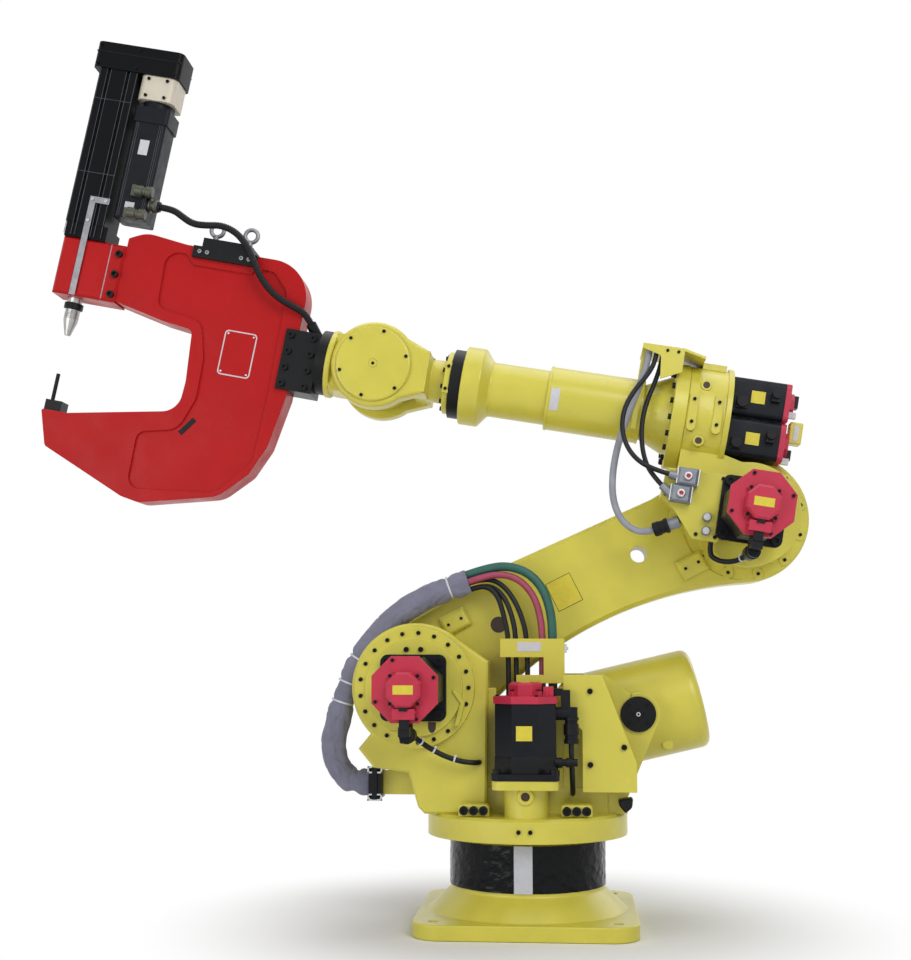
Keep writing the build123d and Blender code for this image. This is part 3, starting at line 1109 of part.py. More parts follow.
def plug_along(route, diameter, length, seat):
    """A round plug in line with the end of a cable, cut to the face that it stands on."""
    end = Vector(*route[-1])
    heading = (end - Vector(*route[-2])).normalized()
    plug = Plane(origin=end + heading * SEAT_GAP, z_dir=heading) * Cylinder(
        diameter / 2, length, align=(Align.CENTER, Align.CENTER, Align.MIN))
    return plug - seat


def write(name, shape, frame=None):
    """Write one named piece, or the group of like pieces that share its name."""
    pieces = shape if isinstance(shape, list) else [shape]
    solids = [solid for piece in pieces for solid in piece.solids()]
    group = solids[0] if len(solids) == 1 else Compound(children=solids)
    if frame is not None:
        group = frame * group
    export_step(group, os.path.join("parts", name + ".step"))


def main():
    """Build every piece and write it in the rest pose."""
    os.makedirs("parts", exist_ok=True)
    shoulder_seat = Pos(SHOULDER_X, SHOULDER_MOTOR_SEAT, SHOULDER_Z) * Rot(-90, 0, 0)
    elbow_seat = ELBOW_FRAME * Pos(0, ELBOW_MOTOR_SEAT, 0) * Rot(-90, 0, 0)
    turning_seat = Pos(PEDESTAL_X, PEDESTAL_Y, PEDESTAL_TOP) * Rot(0, 0, 90)

    write("base_casting", base_casting())
    write("base_film_wrap", base_film_wrap())

    write("turret_casting", turret_casting())
    write("ring_stop_blocks", ring_stop_blocks())
    write("turning_motor", motor_body(), turning_seat)
    write("turning_motor_cap", motor_cap(), turning_seat)
    write("shoulder_motor", motor_body(), shoulder_seat)
    write("shoulder_motor_cap", motor_cap(), shoulder_seat)
    write("rear_side_plate", rear_side_plate())
    write("hose_clamp_bracket", hose_clamp_bracket())
    write("sleeve_bracket", sleeve_bracket())
    write("sleeve_clamp", sleeve_clamp())
    write("trunnion_caps", trunnion_caps())
    write("hose_sleeve", cord("hose_sleeve", SLEEVE_ROUTE, SLEEVE_DIAMETER))
    write("green_hose", cord("green_hose", GREEN_HOSE_ROUTE, GREEN_HOSE_DIAMETER))
    write("red_hose", cord("red_hose", RED_HOSE_ROUTE, RED_HOSE_DIAMETER))
    for name, route in DRESS_CABLE_ROUTES.items():
        write(name, cord(name, route, DRESS_CABLE_DIAMETER))
    for name, route in MOTOR_CABLE_ROUTES.items():
        write(name, cord(name, route, MOTOR_CABLE_DIAMETER))

    write("lower_arm_casting", lower_arm_casting(), ARM_FRAME)
    write("lower_arm_stops", lower_arm_stops(), ARM_FRAME)
    write("lower_arm_caps", lower_arm_caps(), ARM_FRAME)
    write("balancer_cylinder", balancer_cylinder(), BALANCER_FRAME)
    write("balancer_rod", balancer_rod(), ROD_FRAME)

    write("elbow_casing", elbow_casing(), ELBOW_FRAME)
    write("elbow_motor", motor_body(), elbow_seat)
    write("elbow_motor_cap", motor_cap(), elbow_seat)
    write("wrist_motors", wrist_motors(), ELBOW_FRAME)
    write("wrist_motor_caps", wrist_motor_caps(), ELBOW_FRAME)
    write("connector_box", connector_box(), ELBOW_FRAME)
    write("connector_plugs", connector_plugs(), ELBOW_FRAME)
    write("connector_ports", connector_ports(), ELBOW_FRAME)
    write("cable_hood", cable_hood(), ELBOW_FRAME)
    for name, route in ELBOW_CABLE_ROUTES.items():
        write(name, cord(name, route, ELBOW_CABLE_DIAMETER), ELBOW_FRAME)
    write("elbow_grey_cable", cord("elbow_grey_cable", GREY_CABLE_ROUTE, GREY_CABLE_DIAMETER), ELBOW_FRAME)
    motor_cable = cord("elbow_motor_cable", ELBOW_MOTOR_CABLE_ROUTE, MOTOR_CABLE_DIAMETER)
    write("elbow_motor_cable", motor_cable, ELBOW_FRAME)

    write("forearm_tube", forearm_tube(), ROLL_FRAME)
    write("forearm_cover", forearm_cover(), ROLL_FRAME)
    write("wrist_ring", wrist_ring(), ROLL_FRAME)
    write("wrist_yoke", wrist_yoke(), ROLL_FRAME)
    write("yoke_covers", yoke_covers(), ROLL_FRAME)
    write("wrist_housing", wrist_housing(), TOOL_FRAME)

    write("tool_ring", tool_ring(), TOOL_FRAME)
    write("tool_adapter", tool_adapter(), TOOL_FRAME)
    write("c_frame", c_frame(), TOOL_FRAME)
    write("head_block", head_block(), TOOL_FRAME)
    write("actuator_column", actuator_column(), TOOL_FRAME)
    write("belt_housing", belt_housing(), TOOL_FRAME)
    write("drive_gearbox", drive_gearbox(), TOOL_FRAME)
    write("drive_motor", drive_motor(), TOOL_FRAME)
    write("strip_bracket", strip_bracket(), TOOL_FRAME)
    write("lifting_saddle", lifting_saddle(), TOOL_FRAME)
    write("lifting_eyes", lifting_eyes(), TOOL_FRAME)
    write("die_post", die_post(), TOOL_FRAME)
    write("cable_plug", cable_plug(), TOOL_FRAME)
    write("tool_conduit", cord("tool_conduit", CONDUIT_ROUTE, CONDUIT_DIAMETER), TOOL_FRAME)
    write("punch", punch(), TOOL_FRAME)


main()
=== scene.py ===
"""Looks of a six-axis floor robot with a C-frame press tool, laid out as an add-on.

Places are in millimetres in the frame of the link that carries them, and become metres where a mesh is made.
"""
import json
import math

import bmesh
import bpy
from bpy.props import FloatProperty, FloatVectorProperty, PointerProperty
from mathutils import Matrix, Vector, noise

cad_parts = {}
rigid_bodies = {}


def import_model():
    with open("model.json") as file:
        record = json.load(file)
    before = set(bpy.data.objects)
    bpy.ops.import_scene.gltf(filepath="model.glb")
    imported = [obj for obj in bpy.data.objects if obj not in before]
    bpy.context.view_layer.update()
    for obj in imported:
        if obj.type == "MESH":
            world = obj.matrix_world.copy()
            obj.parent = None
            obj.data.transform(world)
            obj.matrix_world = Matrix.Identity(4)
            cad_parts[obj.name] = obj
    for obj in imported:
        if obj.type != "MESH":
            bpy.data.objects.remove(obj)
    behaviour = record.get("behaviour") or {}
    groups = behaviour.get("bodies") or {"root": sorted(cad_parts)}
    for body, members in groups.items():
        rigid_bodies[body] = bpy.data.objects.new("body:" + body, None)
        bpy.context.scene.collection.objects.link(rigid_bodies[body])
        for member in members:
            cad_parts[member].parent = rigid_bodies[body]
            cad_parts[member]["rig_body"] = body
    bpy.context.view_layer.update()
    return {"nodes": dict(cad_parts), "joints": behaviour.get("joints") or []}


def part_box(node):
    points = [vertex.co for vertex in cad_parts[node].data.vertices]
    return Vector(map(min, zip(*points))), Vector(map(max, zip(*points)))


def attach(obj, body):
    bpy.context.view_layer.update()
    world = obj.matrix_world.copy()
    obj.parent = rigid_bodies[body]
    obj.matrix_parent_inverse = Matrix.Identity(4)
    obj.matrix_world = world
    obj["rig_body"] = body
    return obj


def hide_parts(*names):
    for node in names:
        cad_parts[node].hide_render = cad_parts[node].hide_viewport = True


bl_info = {
    "name": "Press Robot Looks",
    "version": (1, 0, 0),
    "blender": (4, 5, 0),
    "location": "View3D > Sidebar > Robot",
    "description": "Gives a six-axis robot and its press tool their finishes, hoses, screws and plates",
    "category": "Object",
}

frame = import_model()
MM = 0.001
JOINTS = {joint["name"]: joint for joint in frame["joints"]}


def link_frame(joint, rise):
    """The frame of a link in the arm's plane, from its joint's place and its rise in radians."""
    return Matrix.Translation(Vector(JOINTS[joint]["pos_m"])) @ Matrix.Rotation(-rise, 4, "Y")


def axis_rise(joint):
    """How far a roll axis points above the horizon, in radians."""
    axis = JOINTS[joint]["axis"]
    return math.atan2(axis[2], axis[0])


# The links' own frames, each about the joint that it turns on; the roll axis lies above the elbow's
ARM_SPAN = Vector(JOINTS["elbow_bend"]["pos_m"]) - Vector(JOINTS["shoulder"]["pos_m"])
ROLL_RISE = 0.265
WORLD = Matrix.Identity(4)
ARM = link_frame("shoulder", math.atan2(-ARM_SPAN.x, ARM_SPAN.z))
ELBOW = link_frame("elbow_bend", axis_rise("forearm_roll"))
ROLL = ELBOW @ Matrix.Translation((0, 0, ROLL_RISE))
TOOL = link_frame("wrist_bend", axis_rise("tool_roll"))
BALANCER_TILT = math.radians(13.32)
BALANCER = Matrix.Translation((-0.319, -0.085, 0.595)) @ Matrix.Rotation(BALANCER_TILT, 4, "Y")
OUTWARD = Matrix.Rotation(math.radians(-90), 4, "X")
SHOULDER_MOTOR = Matrix.Translation((0.312, 0.202, 0.670)) @ OUTWARD
ELBOW_MOTOR = ELBOW @ Matrix.Translation((0, 0.175, 0)) @ OUTWARD
TURNING_MOTOR = Matrix.Translation((-0.003, 0.215, 0.422)) @ Matrix.Rotation(math.radians(90), 4, "Z")

# The frame in which each body's trims and screws are placed, unless they name another
HOME = {
    "base": WORLD, "turret": WORLD, "balancer_cylinder": WORLD, "lower_arm": ARM, "elbow": ELBOW,
    "forearm": ROLL, "tool": TOOL, "ram": TOOL,
}


def linear(code):
    """A linear colour from an sRGB hex code."""
    parts = [int(code[at:at + 2], 16) / 255 for at in (0, 2, 4)]
    return [part / 12.92 if part <= 0.04045 else ((part + 0.055) / 1.055) ** 2.4 for part in parts]


class PressRobotPaints(bpy.types.PropertyGroup):
    """Colours of the robot's finishes."""

    yellow: FloatVectorProperty(
        name="Robot yellow", description="Enamel on the castings", subtype="COLOR",
        default=linear("D5CB4E"))
    press_red: FloatVectorProperty(
        name="Press red", description="Enamel on the press tool's frame", subtype="COLOR",
        default=linear("B71B1D"))
    cap_red: FloatVectorProperty(
        name="Cap red", description="Paint on the motors' end caps", subtype="COLOR",
        default=linear("C02E49"))
    sleeve_grey: FloatVectorProperty(
        name="Sleeve grey", description="Woven sleeve round the hoses", subtype="COLOR",
        default=linear("7C7C90"))
    hose_green: FloatVectorProperty(
        name="Hose green", description="Rubber of the water hose", subtype="COLOR",
        default=linear("1F5A4E"))
    hose_red: FloatVectorProperty(
        name="Hose red", description="Rubber of the return hose", subtype="COLOR",
        default=linear("A0405A"))


class PressRobotSizes(bpy.types.PropertyGroup):
    """Sizes of what the looks add."""

    casting_edge: FloatProperty(
        name="Casting edge", description="Rounding of the castings' edges", default=0.004, unit="LENGTH")
    crowded_edge: FloatProperty(
        name="Crowded edge", description="Rounding where small forms crowd a casting",
        default=0.0014, unit="LENGTH")
    sheet_edge: FloatProperty(
        name="Sheet edge", description="Rounding of machined and sheet edges", default=0.0012, unit="LENGTH")
    tie_width: FloatProperty(
        name="Tie width", description="Width of the cable ties", default=0.005, unit="LENGTH")


class PressRobotStage(bpy.types.PropertyGroup):
    """Camera and light."""

    lens: FloatProperty(
        name="Lens", description="Focal length on a 36 mm sensor, in mm", default=53.5)
    camera_place: FloatVectorProperty(
        name="Camera place", description="Where the camera stands", subtype="TRANSLATION",
        default=(-0.128, 4.235, 0.761), unit="LENGTH")
    yaw: FloatProperty(
        name="Yaw", description="Turn of the camera towards the front",
        default=math.radians(4.56), subtype="ANGLE")
    pitch: FloatProperty(
        name="Pitch", description="Rise of the camera's view", default=math.radians(7.0), subtype="ANGLE")


def node(tree, kind, inputs=None, **settings):
    """Add a node with its settings, its values and its links."""
    made = tree.nodes.new(kind)
    for name, value in settings.items():
        setattr(made, name, value)
    for key, value in (inputs or {}).items():
        if isinstance(value, bpy.types.NodeSocket):
            tree.links.new(value, made.inputs[key])
        else:
            made.inputs[key].default_value = value
    return made


def rgba(colour):
    """A colour with full opacity."""
    return (*colour, 1.0)


def shade(colour, by):
    """A colour made lighter or darker by a share."""
    return [min(1.0, part * by) for part in colour]


def surface(name, roughness, **shader_inputs):
    """A new material with one shader, its tree and the object's own coordinates."""
    made = bpy.data.materials.new(name)
    made.use_nodes = True
    tree = made.node_tree
    tree.nodes.clear()
    shader = node(tree, "ShaderNodeBsdfPrincipled", {"Roughness": roughness})
    for key, value in shader_inputs.items():
        shader.inputs[key.replace("_", " ")].default_value = value
    node(tree, "ShaderNodeOutputMaterial", {"Surface": shader.outputs[0]})
    place = node(tree, "ShaderNodeTexCoord").outputs["Object"]
    return made, tree, shader, place


# The middle of a noise texture's range, which holds nearly all of its values
NOISE_SPAN = {"From Min": 0.3, "From Max": 0.7}

# Where a mix node has its factor, its two colours and its mixed colour
MIX_FACTOR, MIX_DARK, MIX_LIGHT, MIX_RESULT = 0, 6, 7, 2


def mottle(tree, shader, place, colour, size_mm, spread):
    """Let a colour drift between a darker and a lighter tone over patches of a given size."""
    cloud = node(tree, "ShaderNodeTexNoise", {"Vector": place, "Scale": 1 / (size_mm * MM), "Detail": 4.0})
    tone = node(tree, "ShaderNodeMapRange", {"Value": cloud.outputs["Fac"], **NOISE_SPAN})
    dark, light = rgba(shade(colour, 1 - spread)), rgba(shade(colour, 1 + spread))
    blend = node(tree, "ShaderNodeMix", {
        MIX_FACTOR: tone.outputs[0], MIX_DARK: dark, MIX_LIGHT: light}, data_type="RGBA")
    tree.links.new(blend.outputs[MIX_RESULT], shader.inputs["Base Color"])


def uneven_gloss(tree, shader, place, size_mm, low, high):
    """Let the gloss drift between two roughness values over patches of a given size."""
    cloud = node(tree, "ShaderNodeTexNoise", {"Vector": place, "Scale": 1 / (size_mm * MM), "Detail": 5.0})
    gloss = node(tree, "ShaderNodeMapRange", {
        "Value": cloud.outputs["Fac"], **NOISE_SPAN, "To Min": low, "To Max": high})
    tree.links.new(gloss.outputs[0], shader.inputs["Roughness"])


def raise_pattern(tree, shader, height, depth_mm, strength):
    """Raise the surface by a pattern's height."""
    bump = node(tree, "ShaderNodeBump", {"Height": height, "Strength": strength, "Distance": depth_mm * MM})
    tree.links.new(bump.outputs["Normal"], shader.inputs["Normal"])


def relief(tree, shader, place, size_mm, depth_mm, strength):
    """Raise a fine grain of a given size on the surface."""
    grain = node(tree, "ShaderNodeTexNoise", {"Vector": place, "Scale": 1 / (size_mm * MM)})
    raise_pattern(tree, shader, grain.outputs["Fac"], depth_mm, strength)


def coat(name, colour, roughness, drift, gloss=None, grain=None, stretch=None, **shader_inputs):
    """A finish with a drifting colour, and with uneven gloss and a grain where these are given.

    The drift is a patch size in mm and a share, the gloss a patch size in mm and two roughness values, the
    grain a size and a depth in mm and a strength, and the stretch draws the grain out along an axis.
    """
    made, tree, shader, place = surface(name, roughness, **shader_inputs)
    mottle(tree, shader, place, colour, *drift)
    if gloss:
        uneven_gloss(tree, shader, place, *gloss)
    if stretch:
        place = node(tree, "ShaderNodeMapping", {"Vector": place, "Scale": stretch}).outputs[0]
    if grain:
        relief(tree, shader, place, *grain)
    return made


def woven_sleeve(colour):
    """The finish of the hose sleeve, with threads that cross."""
    made, tree, shader, place = surface("woven_polyester_grey", 0.85, Sheen_Weight=0.25, Sheen_Roughness=0.5)
    mottle(tree, shader, place, colour, 45, 0.1)
    thread_mm, full_turn = 2.5, 6.283
    thread = {"Vector": place, "Scale": 1 / (thread_mm * MM) / full_turn, "Distortion": 1.0}
    weft = node(tree, "ShaderNodeTexWave", thread, bands_direction="Z")
    warp = node(tree, "ShaderNodeTexWave", thread, bands_direction="X")
    weave = node(
        tree, "ShaderNodeMath", {0: weft.outputs["Fac"], 1: warp.outputs["Fac"]}, operation="MULTIPLY")
    raise_pattern(tree, shader, weave.outputs[0], 0.4, 0.35)
    return made


def make_materials(paints):
    """Every finish on the robot, by a short name."""
    kept = {}

    # Sprayed enamel over sand-cast iron: an even lemon yellow with soft highlights and a faint cast grain
    kept["yellow"] = coat(
        "enamel_on_cast_iron_yellow", paints.yellow, 0.3, (90, 0.05), (70, 0.28, 0.33), (3.5, 0.12, 0.35),
        Specular_IOR_Level=0.48)
    # The same enamel on folded sheet and turned pieces, which lie smoother and shine more
    kept["yellow_sheet"] = coat(
        "enamel_on_sheet_steel_yellow", paints.yellow, 0.26, (140, 0.03), (80, 0.23, 0.28), (2.0, 0.06, 0.3),
        Specular_IOR_Level=0.5)
    # Gloss enamel over machined plate: a deep red with broad soft reflections and rubbed patches
    kept["red"] = coat(
        "enamel_on_machined_plate_red", paints.press_red, 0.32, (160, 0.05), (70, 0.24, 0.42),
        (2.5, 0.07, 0.3), Specular_IOR_Level=0.13)
    # Satin paint over die-cast aluminium: a cooler red on the motors' end caps
    kept["cap_red"] = coat(
        "satin_paint_on_die_casting_red", paints.cap_red, 0.42, (40, 0.06), grain=(1.6, 0.08, 0.35),
        Specular_IOR_Level=0.35)
    # Baked paint on motor housings: near black, slightly dusty, with a low sheen
    kept["motor_black"] = coat(
        "baked_paint_on_motor_black", linear("17191F"), 0.34, (60, 0.18), (30, 0.3, 0.5), (1.8, 0.08, 0.35),
        Specular_IOR_Level=0.14)
    # Black oxide on turned steel: dark blue-grey and oily, with a faint fine grain
    kept["black_steel"] = coat(
        "black_oxide_on_steel", linear("141517"), 0.36, (30, 0.15), grain=(1.2, 0.05, 0.3),
        Specular_IOR_Level=0.16)
    # Hard anodised aluminium: soft black with a fine sheen along the extrusion
    kept["anodised"] = coat(
        "anodised_aluminium_black", linear("0D0E10"), 0.36, (80, 0.1), grain=(1.5, 0.05, 0.25),
        stretch=(1.0, 1.0, 0.03), Specular_IOR_Level=0.09)
    # Cream machine paint on an aluminium gearbox: pale, smooth and slightly soiled
    kept["cream"] = coat(
        "machine_paint_on_gearbox_cream", linear("D6CDBB"), 0.4, (50, 0.05), grain=(1.6, 0.06, 0.3))
    # Ground tool steel: bright grey with a fine ground texture
    kept["steel"] = coat(
        "ground_tool_steel", linear("A9A8A6"), 0.28, (20, 0.08), (12, 0.22, 0.4), (0.8, 0.03, 0.25),
        Metallic=1.0)
    # Rolled flat bar and forged eyes, as they come from the mill: dull mid grey
    kept["rolled_steel"] = coat(
        "rolled_steel_grey", linear("86868A"), 0.44, (24, 0.14), (16, 0.36, 0.54), Metallic=1.0)
    # Corners and joints of the black extrusions, where their edges catch the light: a painted glint, drawn as
    # a dull grey line
    kept["painted_edge_glint"] = coat("anodised_aluminium_edge_glint", linear("45464C"), 0.4, (30, 0.3), Metallic=0.5)
    # Zinc-plated steel of small screws, levers and buckles: pale and slightly cloudy
    kept["zinc"] = coat("zinc_plated_steel", linear("B9BABB"), 0.34, (6, 0.1), Metallic=1.0)
    # Die-cast zinc connector shells: mid grey and matt
    kept["connector"] = coat(
        "die_cast_zinc_grey", linear("80848C"), 0.5, (12, 0.1), grain=(1.0, 0.06, 0.35), Metallic=0.5)
    # Olive chromate on zinc-plated connector shells: dull green-grey with a metal glint
    kept["olive"] = coat(
        "olive_chromate_on_zinc", linear("4C4D42"), 0.42, (9, 0.15), grain=(0.9, 0.05, 0.35), Metallic=0.5)
    # Moulded nylon and ABS fittings, and the painted shade in the yoke covers' holes: plain black with a soft
    # sheen
    kept["black_nylon_and_hole_shade"] = coat(
        "moulded_black_nylon_and_hole_shade", linear("141518"), 0.42, (15, 0.12), grain=(0.9, 0.05, 0.35),
        Specular_IOR_Level=0.18)
    # Natural nylon of the cable ties: milky white
    kept["nylon_white"] = coat(
        "moulded_nylon_white", linear("D9DADF"), 0.45, (10, 0.04), Subsurface_Weight=0.1)
    # PVC cable jackets: dark and light grey, slightly shiny
    for short, code in (("jacket_black", "191B1F"), ("jacket_grey", "9A9CA6")):
        kept[short] = coat(
            "pvc_cable_" + short, linear(code), 0.42, (30, 0.1), grain=(2.0, 0.06, 0.3),
            Specular_IOR_Level=0.22)
    # Extruded rubber hose: dull colour with a dusty bloom
    for short, colour in (("hose_green", paints.hose_green), ("hose_red", paints.hose_red)):
        kept[short] = coat("extruded_rubber_" + short, colour, 0.5, (35, 0.12), grain=(1.5, 0.08, 0.35))
    # Woven polyester sleeve: matt grey-violet; its 1 mm weave is drawn at 2.5 mm so that it shows
    kept["sleeve"] = woven_sleeve(paints.sleeve_grey)
    # Polyethylene stretch film: black, thin and crinkled, with sharp small highlights
    kept["film"] = coat(
        "stretch_film_black", linear("0C0E11"), 0.14, (30, 0.2), grain=(18, 2.0, 0.5),
        Specular_IOR_Level=0.14)
    # Polyester labels left blank, and the white tape on the film: flat, even colours
    for short, code in (("label_yellow", "DCCB3A"), ("label_white", "CFCFD4"), ("tape_white", "C4C6D2")):
        kept[short] = coat("printed_polyester_" + short, linear(code), 0.5, (15, 0.05))
    # Rubber bore plugs, and the painted shade drawn in small dark openings: a dull brown
    kept["brown_plug_and_hole_shade"] = coat("moulded_brown_rubber_and_hole_shade", linear("3A2A22"), 0.6, (8, 0.15))
    return kept


FINISH = {}


def stand(name, mesh, body, finish):
    """Put a mesh in the scene as a piece that rides on a body."""
    mesh.materials.clear()
    mesh.materials.append(FINISH[finish])
    piece = bpy.data.objects.new(name, mesh)
    bpy.context.scene.collection.objects.link(piece)
    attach(piece, body)
    return piece


# Edges that turn by more than this are rounded
SHARP_EDGE = math.radians(28)


def rounded(piece, width):
    """Round a piece's sharp edges and keep its flats flat."""
    for face in piece.data.polygons:
        face.use_smooth = True
    edge = piece.modifiers.new("edge", "BEVEL")
    edge.width = width
    edge.segments = 2
    edge.limit_method = "ANGLE"
    edge.angle_limit = SHARP_EDGE
    edge.use_clamp_overlap = False
    edge.harden_normals = True
    return piece


def mesh_from(shell, name):
    """A mesh from a finished shell."""
    mesh = bpy.data.meshes.new(name)
    shell.to_mesh(mesh)
    shell.free()
    return mesh


def softened(part, finish, width):
    """Stand a copy of a solid piece, with its edges rounded, in that piece's place."""
    source = frame["nodes"][part]
    shell = bmesh.new()
    shell.from_mesh(source.data)
    bmesh.ops.remove_doubles(shell, verts=shell.verts, dist=0.01 * MM)
    bmesh.ops.dissolve_limit(shell, angle_limit=math.radians(0.4), verts=shell.verts, edges=shell.edges)
    mesh = mesh_from(shell, part + "_dressed")
    if "custom_normal" in mesh.attributes:
        mesh.attributes.remove(mesh.attributes["custom_normal"])
    piece = stand(part + "_dressed", mesh, source["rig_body"], finish)
    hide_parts(part)
    return rounded(piece, width)


# The solid pieces that take each finish
CASTINGS = (
    "base_casting", "turret_casting", "ring_stop_blocks", "lower_arm_casting", "lower_arm_stops",
    "lower_arm_caps", "balancer_cylinder", "elbow_casing", "wrist_yoke", "yoke_covers", "wrist_housing",
    "forearm_tube",
)
CROWDED = ("turret_casting", "lower_arm_casting", "balancer_cylinder", "elbow_casing")
SHEETS = (
    "rear_side_plate", "hose_clamp_bracket", "sleeve_bracket", "connector_box", "cable_hood", "forearm_cover",
)
MOTORS = (
    ("motor_black", ("turning_motor", "shoulder_motor", "elbow_motor", "wrist_motors", "drive_motor")),
    ("cap_red", ("turning_motor_cap", "shoulder_motor_cap", "elbow_motor_cap", "wrist_motor_caps")),
)
FITTINGS = (
    ("red", ("c_frame", "head_block")),
    ("anodised", ("actuator_column", "belt_housing")),
    ("black_steel", (
        "trunnion_caps", "wrist_ring", "tool_ring", "tool_adapter", "lifting_saddle", "die_post")),
    ("steel", ("balancer_rod", "punch")),
    ("rolled_steel", ("lifting_eyes", "strip_bracket")),
    ("black_nylon_and_hole_shade", ("sleeve_clamp", "cable_plug")),
    ("connector", ("connector_plugs", "connector_ports")),
    ("cream", ("drive_gearbox",)),
)


def soften_all(groups, width):
    """Soften every solid piece of a table of finishes."""
    for finish, parts in groups:
        for part in parts:
            softened(part, finish, width)


class ROBOT_OT_finishes(bpy.types.Operator):
    """Make every finish from the paints"""

    bl_idname = "robot.finishes"
    bl_label = "Finishes"

    def execute(self, context):
        FINISH.clear()
        FINISH.update(make_materials(context.scene.press_robot_paints))
        return {"FINISHED"}


class ROBOT_OT_castings(bpy.types.Operator):
    """Paint the castings and sheet pieces, with soft edges"""

    bl_idname = "robot.castings"
    bl_label = "Castings and sheets"

    def execute(self, context):
        sizes = context.scene.press_robot_sizes
        for part in CASTINGS:
            softened(part, "yellow", sizes.crowded_edge if part in CROWDED else sizes.casting_edge)
        soften_all((("yellow_sheet", SHEETS),), sizes.sheet_edge)
        return {"FINISHED"}


class ROBOT_OT_motors(bpy.types.Operator):
    """Paint the motors and their end caps"""

    bl_idname = "robot.motors"
    bl_label = "Motors"

    def execute(self, context):
        soften_all(MOTORS, context.scene.press_robot_sizes.sheet_edge)
        return {"FINISHED"}


class ROBOT_OT_press(bpy.types.Operator):
    """Finish the press tool, the steel pieces and the fittings"""

    bl_idname = "robot.press"
    bl_label = "Press tool and fittings"

    def execute(self, context):
        soften_all(FITTINGS, context.scene.press_robot_sizes.sheet_edge)
        return {"FINISHED"}


# Cable routes, the same points as the solid tubes have, in mm in their link's frame
SLEEVE_ROUTE = [
    (450.3, 75, 398), (490, 75, 398), (526, 75, 416), (550, 75, 449), (557, 75, 492), (552, 75, 545),
    (538, 75, 606), (516, 75, 672), (486, 75, 742), (438, 75, 812), (378, 75, 872), (308, 75, 920),
    (236, 75, 950), (166, 75, 974),
]
GREEN_HOSE_ROUTE = [
    (171.9, 79, 992.1), (118, 79, 1010.6), (54, 85, 1020), (-8, 86, 1001), (-52, 86, 953), (-74, 86, 886),
    (-79, 86, 808), (-77, 86, 600), (-79, 86, 390.3),
]
RED_HOSE_ROUTE = [
    (165.1, 93, 972.2), (114, 93, 989.7), (58, 89, 995), (8, 86, 973), (-28, 86, 926), (-44, 86, 868),
    (-49, 86, 808), (-47, 86, 600), (-49, 86, 390.3),
]
DRESS_FRONT_ROUTE = [
    (157.9, 83, 951.4), (135, 83, 959.3), (112, 84, 958), (92, 85, 946), (77, 86, 924), (66, 86, 888),
    (56, 86, 845), (50, 86, 808), (49, 86, 600), (51, 86, 390.3),
]
DRESS_MIDDLE_ROUTE = [
    (157.9, 65, 951.4), (123.9, 65, 963.1), (88, 70, 956), (57, 77, 922), (37, 83, 868), (27, 86, 808),
    (26, 86, 600), (28, 86, 390.3),
]
DRESS_REAR_ROUTE = [
    (164.1, 69, 969.4), (126.3, 69, 982.4), (84, 73, 977), (46, 78, 944), (14, 84, 884), (-6, 86, 808),
    (-5, 86, 600), (-7, 86, 390.3),
]
ELBOW_UPPER_ROUTE = [
    (330, 130, 434.7), (330, 130, 396), (346, 140, 352), (374, 150, 306), (396, 160, 252), (400, 170, 196),
    (384, 180, 142), (350, 188, 100), (302, 191, 76), (246, 191, 68),
]
ELBOW_LOWER_ROUTE = [
    (312, 110, 434.7), (312, 110, 392), (322, 114, 336), (336, 121, 280), (342, 130, 222), (337, 142, 166),
    (323, 157, 112), (298, 171, 66), (260, 182, 34),
]
GREY_CABLE_ROUTE = [
    (352, 120, 434.7), (352, 120, 380), (366, 121, 312), (382, 122, 246), (394, 122, 180), (402, 120, 114),
    (402, 118, 48), (392, 118, -14), (368, 120, -64), (330, 126, -96), (286, 134, -104), (248, 140, -84),
]
TURNING_LEAD_ROUTE = [
    (-129, 215, 525.7), (-129, 215, 492), (-130, 211, 458), (-131, 198, 424), (-132, 176, 396),
    (-132, 146, 374), (-132, 116.3, 374),
]
SHOULDER_LEAD_ROUTE = [
    (312, 305.7, 544), (312, 276, 544), (305, 249, 537), (288, 227, 520), (260, 210, 500), (226, 202, 482),
    (194, 202, 471), (166, 201, 465), (142, 194, 463), (130, 178, 462), (130, 160.3, 462),
]
ELBOW_LEAD_ROUTE = [
    (0, 278.7, -126), (0, 248, -126), (6, 219, -133), (22, 192, -145), (47, 170, -152), (74, 152, -150),
    (98, 142, -136), (98, 142, -101.7),
]
CONDUIT_ROUTE = [
    (768.7, 36, 385), (728, 36, 385), (690, 46, 364), (650, 62, 344), (604, 76, 342), (556, 80, 350),
    (508, 80, 338), (468, 80, 306), (437, 80, 264), (408, 80, 219), (370, 78, 180), (326, 76, 154),
    (282, 72, 140), (246, 60, 128), (228, 46, 104),
]

